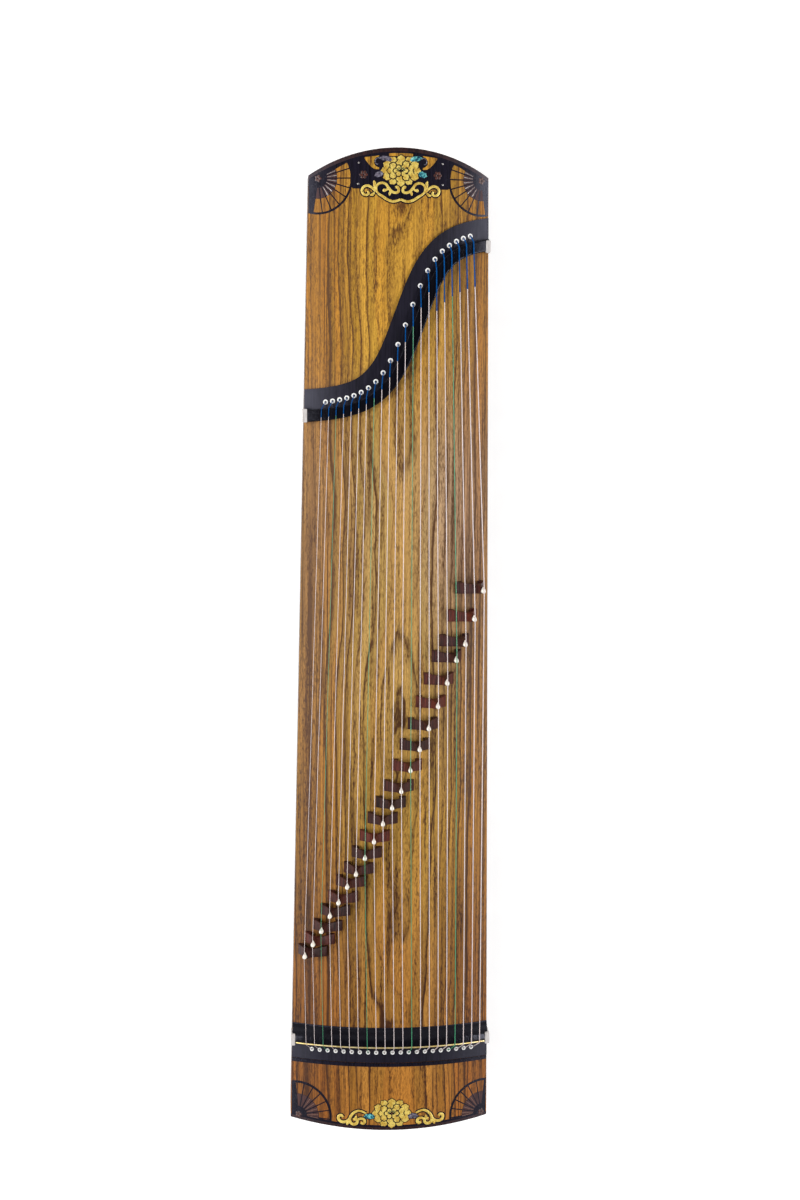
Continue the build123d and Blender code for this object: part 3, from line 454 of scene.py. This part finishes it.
class Relief:
    """Thin inlays laid on the arch and gathered into one piece."""

    def __init__(self):
        self.mesh = bmesh.new()

    def corner(self, place, height):
        return self.mesh.verts.new(on_arch(place[0], place[1], height))

    def grid(self, rows, heights):
        """A closed plate over rows of places, with a height for each place of a row."""
        top = [[self.corner(place, height) for place, height in zip(row, heights)] for row in rows]
        low = [[self.corner(place, SUNK) for place in row] for row in rows]
        last, end = len(rows) - 1, len(heights) - 1
        for i in range(last):
            for j in range(end):
                self.mesh.faces.new((top[i][j], top[i + 1][j], top[i + 1][j + 1], top[i][j + 1]))
                self.mesh.faces.new((low[i][j], low[i][j + 1], low[i + 1][j + 1], low[i + 1][j]))
        rim = [(i, 0) for i in range(last)] + [(last, j) for j in range(end)]
        rim += [(last - i, end) for i in range(last)] + [(0, end - j) for j in range(end)]
        for (i, j), (k, m) in zip(rim, rim[1:] + rim[:1]):
            self.mesh.faces.new((top[i][j], low[i][j], low[k][m], top[k][m]))

    def band(self, start, stop, edges, height, step=4.0):
        """A plate between two curves x(s), from one distance round the arch to another."""
        pieces = max(2, math.ceil(abs(stop - start) / step))
        places = [start + (stop - start) * index / pieces for index in range(pieces + 1)]
        rows = [[(edges[0](s), s), (edges[1](s), s)] for s in places]
        self.grid(rows, (height, height))

    def stroke(self, points, widths, height):
        """A rounded line through places. widths are the half widths at its start, middle and end."""
        rows = []
        for index, (x, s) in enumerate(points):
            before = points[max(index - 1, 0)]
            after = points[min(index + 1, len(points) - 1)]
            run = Vector((after[0] - before[0], after[1] - before[1])).normalized()
            share = index / (len(points) - 1)
            half = widths[0] + (widths[1] - widths[0]) * min(2 * share, 1)
            half += (widths[2] - widths[1]) * max(2 * share - 1, 0)
            offsets = (-half, -0.6 * half, 0.0, 0.6 * half, half)
            rows.append([(x - run.y * offset, s + run.x * offset) for offset in offsets])
        edge = GROUND + 0.25 * (height - GROUND)
        shoulder = GROUND + 0.85 * (height - GROUND)
        self.grid(rows, (edge, shoulder, height, shoulder, edge))

    def boss(self, middle, outline, height, rise=0.35):
        """A domed plate over an outline that can be seen whole from its middle."""
        levels = ((1.0, rise), (0.8, 0.85), (0.45, 1.0))
        rings = []
        for scale, level in levels:
            ring = []
            for x, s in outline:
                place = (middle[0] + (x - middle[0]) * scale, middle[1] + (s - middle[1]) * scale)
                ring.append(self.corner(place, height * level))
            rings.append(ring)
        rings.insert(0, [self.corner(place, SUNK) for place in outline])
        count = len(outline)
        for lower, upper in zip(rings, rings[1:]):
            for index in range(count):
                after = (index + 1) % count
                self.mesh.faces.new((lower[index], lower[after], upper[after], upper[index]))
        self.mesh.faces.new(rings[-1])
        self.mesh.faces.new(rings[0][::-1])

    def place(self, name, material, slot, body):
        return add_object(self.mesh, name, [material], body)


def smooth_curve(points, steps=6):
    """A smooth curve through the points, as many short steps."""
    curve = []
    for index in range(len(points) - 1):
        p0 = Vector(points[max(index - 1, 0)])
        p1 = Vector(points[index])
        p2 = Vector(points[index + 1])
        p3 = Vector(points[min(index + 2, len(points) - 1)])
        for step in range(steps):
            t = step / steps
            bend = (p2 - p0) * t + (2 * p0 - 5 * p1 + 4 * p2 - p3) * t**2 + (3 * p1 - p0 - 3 * p2 + p3) * t**3
            curve.append(tuple(p1 + bend / 2))
    return curve + [tuple(points[-1])]


def sides(points):
    """The points as they lie toward the bass side and mirrored toward the treble side of the middle."""
    return [[(x, MIDDLE + side * s) for x, s in points] for side in (1, -1)]


def leaf_outline(middle, length, width, turn, lobes=0, depth=0.0, count=28):
    """An oval pointing turn radians from +s toward +X, its far end cut into lobes."""
    outline = []
    for index in range(count):
        a = 2 * math.pi * index / count
        swell = 1 + depth * math.cos(lobes * a) * max(0.0, math.cos(a))
        along = length / 2 * math.cos(a) * swell
        across = width / 2 * math.sin(a) * swell
        x = middle[0] + along * math.sin(turn) + across * math.cos(turn)
        s = middle[1] + along * math.cos(turn) - across * math.sin(turn)
        outline.append((x, s))
    return outline


# ---- inlays ----
def fan_arc(fan, side, radius, toward):
    """x(s) of a circle round a fan's pivot; toward is +1 for the head side and -1 for the tail side."""
    pivot = MIDDLE + side * fan["s"]

    def edge(s):
        return fan["x"] + toward * math.sqrt(max(radius**2 - (s - pivot) ** 2, 0.0))

    return edge


def fan_place(fan, side, toward, angle, radius):
    """A place on a fan: angle 0 points at the middle line, and grows away from the end of the body."""
    x = fan["x"] + toward * radius * math.sin(angle)
    s = MIDDLE + side * (fan["s"] - radius * math.cos(angle))
    if toward > 0:
        return max(x, tail_edge(s) + FAN_BORDER), s
    return min(x, lid_edge(s) - FAN_BORDER), s


def add_fan(fan, side, toward, body, name, ray):
    """Folding-fan corner: wood panels between dark ribs, thin rays at their roots, a pivot rosette."""
    panels, sectors, lines, rosette = Relief(), Relief(), Relief(), Relief()
    gap = 1.0
    for index in range(-1, fan["ribs"] - 1):
        start = fan["first"] + index * FAN_STEP
        if index < 0:
            start += fan["cut"] * FAN_STEP
        stop = fan["first"] + (index + 1) * FAN_STEP
        for relief, near, far, height in ((panels, fan["inner"], fan["outer"], WINDOW),
                                          (sectors, 15.0, fan["inner"] - 0.6, WINDOW - 0.04)):
            rows = []
            for step in range(5):
                row = []
                for ring in range(FAN_RINGS + 1):
                    radius = near + (far - near) * ring / FAN_RINGS
                    first = start + gap / radius
                    last = stop - gap / radius
                    row.append(fan_place(fan, side, toward, first + (last - first) * step / 4, radius))
                rows.append(row)
            relief.grid(rows, [height] * (FAN_RINGS + 1))
        middle = (start + stop) / 2
        run = [fan_place(fan, side, toward, middle, radius) for radius in (16.0, 20.0, 24.0, 28.0, fan["inner"] - 1.0)]
        if index < fan["ribs"] - 3:
            lines.stroke(run, (0.25, 0.4, 0.6), LINE)
    for index in range(5):
        turn = 2 * math.pi * index / 5
        middle = (fan["x"] + 3.4 * math.sin(turn), MIDDLE + side * fan["s"] + 3.4 * math.cos(turn))
        rosette.boss(middle, leaf_outline(middle, 5.0, 4.4, turn, count=12), LINE)
    panels.place(name + "_panels", MATERIALS["paulownia"], "paulownia", body)
    sectors.place(name + "_roots", DARK_SECTOR, "inlay_dark", body)
    lines.place(name + "_rays", *ray, body)
    rosette.place(name + "_rosette", RED_FLOWER, "inlay_dark", body)


def add_peony(middle, half_long, half_wide, up, body, name):
    """A layered peony: scalloped gold petals rising toward a green heart. up is the way its top points."""
    petals, seams, heart = Relief(), Relief(), Relief()
    girth = math.pi * (half_long + half_wide)
    for layer, (count, reach) in enumerate(PETAL_LAYERS):
        for index in sorted(range(count), key=lambda number: number % 2):
            turn = 2 * math.pi * (index + 0.5 * layer) / count
            place = (middle[0] + up * half_wide * reach * math.sin(turn), middle[1] + half_long * reach * math.cos(turn))
            aim = math.atan2(place[0] - middle[0], place[1] - middle[1])
            width = girth * reach / count * 1.1
            length = width * 1.1
            level = GROUND + 0.34 * layer + 0.17 * (index % 2)
            seams.boss(place, leaf_outline(place, length + 2.4, width + 2.4, aim, 6, 0.1), level + 0.12, 1.0)
            petals.boss(place, leaf_outline(place, length, width, aim, 6, 0.11), level + 0.3, 0.6)
    for index in range(7):
        turn = math.pi * (index / 6) * 1.1 - 0.15
        place = (middle[0] + up * (1.2 + 3.4 * math.sin(turn)), middle[1] + 5.4 * math.cos(turn))
        aim = math.atan2(up * 3.0 * math.sin(turn), 5.0 * math.cos(turn))
        heart.boss(place, leaf_outline(place, 5.0, 2.2, aim, count=10), 1.45)
    petals.place(name + "_petals", MATERIALS["inlay_gold"], "inlay_gold", body)
    seams.place(name + "_petal_seams", MATERIALS["inlay_dark"], "inlay_dark", body)
    heart.place(name + "_stamens", STAMEN_GREEN, "inlay_shell", body)


def add_scrolls(curves, body, name, balls=()):
    """Gold scrollwork with a dark edge, mirrored about the middle line."""
    gold, edge = Relief(), Relief()
    for points, widths in curves:
        for side in sides(points):
            run = smooth_curve(side)
            gold.stroke(run, widths, RAISED)
            edge.stroke(run, tuple(width + 1.9 for width in widths), LINE - 0.06)
    for x, s, radius in balls:
        for place in (side[0] for side in sides([(x, s)])):
            gold.boss(place, leaf_outline(place, 2 * radius, 2 * radius, 0.0, count=14), RAISED + 0.15)
            edge.boss(place, leaf_outline(place, 2 * radius + 2.6, 2 * radius + 2.6, 0.0, count=14), LINE - 0.06)
    gold.place(name + "_gold", MATERIALS["inlay_gold"], "inlay_gold", body)
    edge.place(name + "_edge", MATERIALS["inlay_dark"], "inlay_dark", body)


def add_leaves(leaves, body, name, materials):
    """Shell leaves with a dark edge. Each is (x, s, length, width, turn); the mirrored one may differ in shell."""
    edge = Relief()
    for label, mirrored, material in (("bass", 1, materials[0]), ("treble", -1, materials[1])):
        shell = Relief()
        for x, s, length, width, turn in leaves:
            place = (x, MIDDLE + mirrored * s)
            aim = turn if mirrored > 0 else math.pi - turn
            shell.boss(place, leaf_outline(place, length, width, aim, 7, 0.16), RAISED)
            edge.boss(place, leaf_outline(place, length + 2.4, width + 2.4, aim, 7, 0.1), LINE - 0.06)
        shell.place(f"{name}_{label}", material, "inlay_shell", body)
    edge.place(name + "_edge", MATERIALS["inlay_dark"], "inlay_dark", body)


def tail_ground_edge(s):
    """Head-side edge of the dark ground: round the fans, straight between them, dipping under the scroll."""
    away = abs(s - MIDDLE)
    if away > TAIL_FAN["s"] - TAIL_FAN["rim"]:
        side = 1 if s > MIDDLE else -1
        return max(TAIL_GROUND_EDGE if away < 78 else -815.0, fan_arc(TAIL_FAN, side, TAIL_FAN["rim"], 1)(s))
    dip = min(max((42 - away) / 20, 0.0), 1.0)
    return TAIL_GROUND_EDGE + 17.5 * dip * dip * (3 - 2 * dip)


def add_tail_inlay():
    """Dark ground over the tail of the soundboard, with windows of bare wood and the ornaments on it."""
    ground, windows = Relief(), Relief()
    ground.band(-TAIL_REACH, TAIL_REACH, (tail_edge, tail_ground_edge), GROUND, 2.0)
    windows.band(MIDDLE - 19, MIDDLE + 19, (lambda s: tail_edge(s) + 2.5, lambda s: tail_edge(s) + 7.0), WINDOW)
    for side in (1, -1):
        rows = []
        for step in range(9):
            away = 35.0 + 23.0 * step / 8
            near = -780.5 - 16.5 * max((away - 40.0) / 18.0, 0.0) ** 1.6
            rows.append([(-802.0 + 0.12 * (away - 35.0), MIDDLE + side * away), (near, MIDDLE + side * away)])
        windows.grid(rows, (WINDOW, WINDOW))
        add_fan(TAIL_FAN, side, 1, "body", "tail_fan_bass" if side > 0 else "tail_fan_treble", (SILVER, "inlay_shell"))
    ground.place("tail_inlay_ground", MATERIALS["inlay_dark"], "inlay_dark", "body")
    windows.place("tail_inlay_windows", MATERIALS["paulownia"], "paulownia", "body")

    curves = [
        ([(-733.6, 0.3), (-731.3, 6), (-730.3, 13), (-733, 21), (-737.5, 28), (-742, 35), (-748, 40),
          (-754, 42.5), (-762, 43.5)], (1.9, 2.1, 0.6)),
        ([(-746, 38.5), (-753, 39), (-758, 35), (-759.2, 29), (-757, 23.5), (-751.5, 19.5), (-746.5, 15),
          (-744, 9), (-745.5, 4.2), (-749.5, 3.4), (-753, 5.4), (-752, 8.4)], (1.6, 2.1, 2.0)),
        ([(-746, 40), (-751.5, 46), (-754.8, 53), (-752.5, 59.5), (-747, 62), (-741.5, 59.5), (-740, 55),
          (-742.5, 51.3), (-746.3, 52.4)], (1.9, 2.0, 1.7)),
        ([(-754, 21), (-749.5, 21.5), (-747.6, 24.5)], (1.0, 1.4, 2.0)),
        ([(-746.5, 15.5), (-742.5, 17.5), (-739.5, 17.8)], (1.8, 2.1, 0.4)),
        ([(-744, 42), (-740.5, 45.5), (-740.5, 49.5)], (1.0, 2.4, 0.5)),
        ([(-754, 42.5), (-759, 41.5), (-763, 43.0)], (1.6, 2.0, 0.3)),
    ]
    add_scrolls(curves, "body", "tail_scroll", balls=((-747.7, 26.2, 2.6),))
    add_peony((-778.5, MIDDLE), 31.0, 22.0, -1, "body", "tail_peony")
    leaves = [(-797.0, 23.0, 21.0, 8.5, -0.2), (-773.0, 34.5, 15.0, 9.0, 0.35)]
    add_leaves(leaves, "body", "tail_leaves", (MATERIALS["inlay_shell"], GREY_SHELL))
    tendrils, flowers, dots = Relief(), Relief(), Relief()
    tendril = smooth_curve([(-796.0, 31.0), (-798.5, 36.5), (-795.0, 41.0), (-789.5, 40.0), (-788.5, 36.5)])
    rounds = Relief()
    for side, mirrored in zip(sides(tendril), (1, -1)):
        tendrils.stroke(side, (0.4, 0.7, 1.0), LINE + 0.1)
        middle = (-792.0, MIDDLE + mirrored * 34.5)
        rounds.boss(middle, leaf_outline(middle, 17.0, 17.0, 0.0), LINE, 0.95)
        for index in range(6):
            turn = 2 * math.pi * index / 6
            place = (-772.0 + 4.0 * math.sin(turn), MIDDLE + mirrored * 59.5 + 4.0 * math.cos(turn))
            flowers.boss(place, leaf_outline(place, 5.6, 4.6, turn, count=14), RAISED)
    rounds.place("tail_tendril_grounds", MATERIALS["inlay_dark"], "inlay_dark", "body")
    for x, s in ((-790.5, 67.5), (-757.5, 68.0)):
        for place in (side[0] for side in sides([(x, s)])):
            dots.boss(place, leaf_outline(place, 3.0, 3.0, 0.0, count=12), RAISED)
    tendrils.place("tail_tendrils", GREY_SHELL, "inlay_shell", "body")
    flowers.place("tail_flowers", RED_FLOWER, "inlay_dark", "body")
    dots.place("tail_dots", SILVER, "inlay_shell", "body")


def add_head_inlay():
    """Dark borders, corner fans, a peony and scrolls on the lid."""
    ground = Relief()
    ground.band(-LID_REACH, LID_REACH, (lambda s: LID_START, lambda s: LID_START + LID_BORDER), GROUND)
    ground.band(-LID_REACH, LID_REACH, (lambda s: lid_edge(s) - LID_RIM, lid_edge), GROUND)
    for side in (1, -1):
        pivot = MIDDLE + side * HEAD_FAN["s"]
        arc = fan_arc(HEAD_FAN, side, HEAD_FAN["rim"], -1)
        reach = pivot - side * (HEAD_FAN["rim"] - 0.4)
        ground.band(reach, side * LID_REACH, (arc, lambda s: lid_edge(s) - LID_RIM), GROUND, 2.0)
        add_fan(HEAD_FAN, side, -1, "lid", "head_fan_bass" if side > 0 else "head_fan_treble", (RAY_BROWN, "inlay_dark"))
    ground.place("head_inlay_ground", MATERIALS["inlay_dark"], "inlay_dark", "lid")
    curves = [
        ([(786, 42), (782.5, 50), (782, 56), (785, 62.5), (790.5, 67.5), (796.5, 70), (802, 69), (805.5, 64.5),
          (804.5, 59), (800, 57), (796.5, 60), (797.5, 63.5)], (1.5, 2.6, 2.2)),
        ([(798, 57.5), (795.5, 52), (796.5, 46.5), (801, 44.5), (804, 47.5), (802.0, 51)], (1.8, 2.4, 2.2)),
        ([(797, 70.5), (801.5, 76), (802.5, 83), (799, 88.5), (793.5, 89), (791.0, 84.5), (794.0, 81.5)],
         (2.0, 2.6, 2.1)),
        ([(797.5, 60), (793.5, 59.5), (790.5, 58.5)], (2.0, 2.3, 0.5)),
        ([(801.5, 71), (805.0, 74), (807.5, 74.5)], (2.0, 2.3, 0.5)),
    ]
    add_scrolls(curves, "lid", "head_scroll")
    add_peony((785.5, MIDDLE + 1), 32.0, 23.0, -1, "lid", "head_peony")
    add_leaves([(791.0, 36.0, 19.0, 9.0, 0.05)], "lid", "head_leaves", (GREY_SHELL, MATERIALS["inlay_shell"]))


# ---- strings ----
def string_paths():
    """The corner points and radius of each string from the treble side on, read from the CAD strings."""
    mesh = NODES["strings"].data
    tree = kdtree.KDTree(len(mesh.vertices))
    for vertex in mesh.vertices:
        tree.insert(vertex.co, vertex.index)
    tree.balance()
    ring_of = {}
    rings = []
    for vertex in mesh.vertices:
        if vertex.index in ring_of:
            continue
        ring_of[vertex.index] = len(rings)
        members = [vertex.index]
        for member in members:
            for _, index, _ in tree.find_range(mesh.vertices[member].co, CORNER_RING * MM):
                if index not in ring_of:
                    ring_of[index] = len(rings)
                    members.append(index)
        rings.append(members)
    middles, radii = [], []
    for members in rings:
        points = [mesh.vertices[index].co for index in members]
        low = Vector(min(point[axis] for point in points) for axis in range(3))
        high = Vector(max(point[axis] for point in points) for axis in range(3))
        middles.append((low + high) / 2)
        radii.append((high.x - low.x) / 2)
    joined = {index: set() for index in range(len(rings))}
    for edge in mesh.edges:
        first, second = (ring_of[vertex] for vertex in edge.vertices)
        if first != second:
            joined[first].add(second)
            joined[second].add(first)
    paths = []
    for start, neighbours in joined.items():
        if len(neighbours) == 1 and middles[start].x < 0:
            run = [start]
            while len(run) == 1 or len(joined[run[-1]]) > 1:
                run.append(next(index for index in joined[run[-1]] if index not in run))
            paths.append(([middles[index] for index in run], radii[start]))
    paths.sort(key=lambda path: path[0][3].y)
    return paths


def rounded(points, setback=STRING_BEND * MM):
    """The path with each inner corner replaced by a short curve."""
    result = [points[0]]
    for before, corner, after in zip(points, points[1:], points[2:]):
        step_in, step_out = before - corner, after - corner
        reach_in = min(setback, 0.4 * step_in.length)
        reach_out = min(setback, 0.4 * step_out.length)
        first = corner + step_in.normalized() * reach_in
        last = corner + step_out.normalized() * reach_out
        for t in (0.0, 0.25, 0.5, 0.75, 1.0):
            result.append(first * (1 - t) ** 2 + corner * 2 * t * (1 - t) + last * t**2)
    return result + [points[-1]]


def divided(points, step=STRING_STEP * MM):
    """The path with long stretches cut into equal steps."""
    result = [points[0]]
    for before, after in zip(points, points[1:]):
        pieces = max(1, math.ceil((after - before).length / step))
        result += [before.lerp(after, index / pieces) for index in range(1, pieces + 1)]
    return result


def add_tube(mesh_maker, points, radius, material=0, sides_count=10):
    """A round closed tube along the points."""
    rings = []
    side = None
    for index, point in enumerate(points):
        run = (points[min(index + 1, len(points) - 1)] - points[max(index - 1, 0)]).normalized()
        if side is None:
            side = run.orthogonal().normalized()
        side = (side - run * side.dot(run)).normalized()
        other = run.cross(side)
        ring = []
        for step in range(sides_count):
            a = 2 * math.pi * step / sides_count
            ring.append(mesh_maker.verts.new(point + (side * math.cos(a) + other * math.sin(a)) * radius))
        rings.append(ring)
    faces = [rings[0][::-1], rings[-1]]
    for lower, upper in zip(rings, rings[1:]):
        for step in range(sides_count):
            after = (step + 1) % sides_count
            faces.append((lower[step], lower[after], upper[after], upper[step]))
    for face in faces:
        mesh_maker.faces.new(face).material_index = material


def silk_length(number):
    """How far the silk wrap reaches along a string from its eyelet."""
    if number > 15:
        return 84.0
    if number > 12:
        return 36.0
    return 28.0


def clipped(points, length):
    """The start of a path, up to a length along it."""
    result = [points[0]]
    for before, after in zip(points, points[1:]):
        step = (after - before).length
        if step >= length:
            return result + [before.lerp(after, length / step)]
        length -= step
        result.append(after)
    return result


def add_strings():
    """Each string in two halves over its bridge, its fixed ends, its coil and its silk wrap."""
    string_materials = [MATERIALS["string_nylon"], MATERIALS["string_green"]]
    ends, wraps = bmesh.new(), bmesh.new()
    pieces = []
    for number, (path, radius) in enumerate(string_paths(), start=1):
        ridge, tip, crest, tangent = path[2], path[3], path[4], path[7]
        tone = 1 if number in GREEN_STRINGS else 0
        label = f"{number:02d}"
        turned = rounded(path)
        over_tip, over_crest = turned[11:16], turned[16:21]
        add_tube(ends, divided(turned[:11]), radius, tone)
        add_tube(ends, divided(over_crest[4:] + turned[21:]), radius, tone)
        for half, run, start in (("tail", turned[10:14], ridge),
                                 ("head", over_tip[2:] + over_crest, crest)):
            tube = bmesh.new()
            add_tube(tube, divided(run), radius)
            made = add_object(tube, f"string_{label}_{half}", [string_materials[tone]])
            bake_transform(made)
            pieces.append(made)
        add_coil(label, tangent, radius, string_materials[tone])
        wrap_run = clipped(turned[3:14], silk_length(number) * MM)
        add_tube(wraps, divided(wrap_run), radius + SILK * MM)
    made = add_object(ends, "string_ends", string_materials, "body")
    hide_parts("strings")
    for piece in pieces:
        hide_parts("strings")
    add_object(wraps, "silk_wraps", [MATERIALS["silk_blue"]], "body")


def add_coil(label, tangent, radius, material):
    """The turns of a string round its tuning pin, starting where the string meets the pin."""
    low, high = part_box(f"tuning_pin_{label}")
    axis = Vector(((low.x + high.x) / 2, (low.y + high.y) / 2, tangent.z))
    reach = axis.y - tangent.y
    coil = bmesh.new()
    steps = round(COIL_TURNS * 16)
    points = []
    for step in range(steps + 1):
        a = -math.pi / 2 + 2 * math.pi * step / 16
        drop = 2.08 * radius * step / 16
        points.append(axis + Vector((reach * math.cos(a), reach * math.sin(a), -drop)))
    add_tube(coil, points, radius, sides_count=8)
    add_object(coil, f"string_coil_{label}", [material], f"tuning_pin_{label}", 60.0)


# ---- finishes of the CAD nodes ----
def finish_cad_nodes():
    """Gives each CAD node the finish of its slot in the record."""
    for part in frame["record"]["subparts"]:
        node = NODES[part["node"]]
        node.data.materials.clear()
        node.data.materials.append(MATERIALS[part["material_slot"]])
    NODES["string_eyelets"].data.materials[0] = EYELET_WHITE
    NODES["ridge_end_caps"].data.materials[0] = CAP_GREY
    for name in ("front_ridge", "rear_ridge"):
        polish_ridge(NODES[name].data)
    for number in range(1, STRINGS + 1):
        bridge = NODES[f"bridge_{number:02d}"]
        add_bone_tip(bridge.data)
        soften_edges(bridge, 0.45)


def arch_heights(mesh):
    """Height of every corner of a mesh above the arch, in millimetres."""
    return [math.hypot(v.co.y, v.co.z - ARCH_AXIS_Z * MM) / MM - ARCH_RADIUS for v in mesh.vertices]


def polish_ridge(mesh):
    """Gives the raised ridge a deep gloss and leaves the plate beside it satin."""
    mesh.materials.append(RIDGE_BLACK)
    heights = arch_heights(mesh)
    for face in mesh.polygons:
        if max(heights[index] for index in face.vertices) > PLATE_TOP:
            face.material_index = 1


def add_bone_tip(mesh):
    """Gives the small part on top of a bridge the bone finish."""
    mesh.materials.append(MATERIALS["bone"])
    heights = arch_heights(mesh)
    shoulder = max(heights) - TIP_HEIGHT
    for face in mesh.polygons:
        levels = [heights[index] for index in face.vertices]
        if min(levels) > shoulder - 0.3 and max(levels) > shoulder + 0.8:
            face.material_index = 1


def soften_edges(node, width):
    """Rounds a CAD node's sharp edges a little, so that they catch the light."""
    weld = node.modifiers.new("weld", "WELD")
    weld.merge_threshold = 0.01 * MM
    bevel = node.modifiers.new("bevel", "BEVEL")
    bevel.width = width * MM
    bevel.segments = 2
    bevel.limit_method = "ANGLE"
    bevel.angle_limit = math.radians(38)
    bevel.harden_normals = True


finish_cad_nodes()
add_strings()
add_tail_inlay()
add_head_inlay()

# ---- stage ----
CAMERA_PLACE = Vector((-0.52862, -0.20008, 3.51719))
CAMERA_TILT = (0.128836, -0.060632, 0.0027835)
CAMERA_LENS = 62.9
CAMERA_SENSOR = 36.0
ROOM_SIDES = 0.7
ROOM_OVERHEAD = 0.1
BACKDROP = 1.0             # the room as the camera sees it
SOFTBOX = (1.0, 3.4)
SOFTBOX_PLACE = (0.0, 3.4, 2.66)
TREBLE_WATTS = 166.0
BASS_WATTS = 120.0
FLOOR_GLOW = 0.4


def add_floor():
    floor_mesh = bmesh.new()
    bmesh.ops.create_grid(floor_mesh, x_segments=8, y_segments=8, size=9.0)
    mesh = bpy.data.meshes.new("floor")
    floor_mesh.to_mesh(mesh)
    floor_mesh.free()
    floor = bpy.data.objects.new("floor", mesh)
    bpy.context.scene.collection.objects.link(floor)
    white = speckled("floor_white", paint(248, 248, 248), paint(244, 244, 244), 0.9, 40.0, seed=9.0)
    glow = white.node_tree.nodes["Principled BSDF"].inputs
    glow["Emission Color"].default_value = (1.0, 1.0, 1.0, 1.0)
    glow["Emission Strength"].default_value = FLOOR_GLOW
    mesh.materials.append(white)


def add_softbox(name, side, watts):
    """A large area light over one long side of the instrument, facing its middle."""
    light = bpy.data.lights.new(name, "AREA")
    light.shape = "RECTANGLE"
    light.size, light.size_y = SOFTBOX
    light.energy = watts
    lamp = bpy.data.objects.new(name, light)
    bpy.context.scene.collection.objects.link(lamp)
    place = Vector(SOFTBOX_PLACE) * Vector((1, side, 1))
    lamp.location = place
    facing = (Vector((0.0, 0.0, 0.1)) - place).normalized()
    lamp.rotation_euler = facing.to_track_quat("-Z", "X").to_euler()


def add_camera():
    """The camera looks down from above the tail, as the instrument was seen."""
    right_down_forward = Matrix(((0, 1, 0), (1, 0, 0), (0, 0, -1)))
    about_x = Matrix.Rotation(CAMERA_TILT[0], 3, "X")
    about_y = Matrix.Rotation(CAMERA_TILT[1], 3, "Y")
    about_z = Matrix.Rotation(CAMERA_TILT[2], 3, "Z")
    axes = about_z @ about_y @ about_x @ right_down_forward
    turn = Matrix((axes[0], -axes[1], -axes[2])).transposed()
    data = bpy.data.cameras.new("camera")
    data.sensor_fit = "VERTICAL"
    data.sensor_height = CAMERA_SENSOR
    data.lens = CAMERA_LENS
    camera = bpy.data.objects.new("camera", data)
    bpy.context.scene.collection.objects.link(camera)
    camera.matrix_world = Matrix.Translation(CAMERA_PLACE) @ turn.to_4x4()
    bpy.context.scene.camera = camera


def add_world():
    """An even white room that lights the sides more than the top, so that black lacquer stays black."""
    world = bpy.data.worlds.new("studio")
    world.use_nodes = True
    nodes, links = world.node_tree.nodes, world.node_tree.links
    direction = nodes.new("ShaderNodeTexCoord").outputs["Generated"]
    split = nodes.new("ShaderNodeSeparateXYZ")
    links.new(direction, split.inputs[0])
    overhead = nodes.new("ShaderNodeMapRange")
    overhead.interpolation_type = "SMOOTHSTEP"
    for index, value in ((1, 0.45), (2, 0.92), (3, ROOM_SIDES), (4, ROOM_OVERHEAD)):
        overhead.inputs[index].default_value = value
    links.new(split.outputs[2], overhead.inputs[0])
    seen = nodes.new("ShaderNodeMix")
    seen.inputs[3].default_value = BACKDROP
    links.new(nodes.new("ShaderNodeLightPath").outputs["Is Camera Ray"], seen.inputs[0])
    links.new(overhead.outputs[0], seen.inputs[2])
    links.new(seen.outputs[0], nodes["Background"].inputs["Strength"])
    nodes["Background"].inputs["Color"].default_value = (1.0, 1.0, 1.0, 1.0)
    bpy.context.scene.world = world


add_floor()
add_world()
add_camera()
add_softbox("softbox_treble", -1, TREBLE_WATTS)
add_softbox("softbox_bass", 1, BASS_WATTS)
bpy.context.scene.view_settings.view_transform = "Standard"
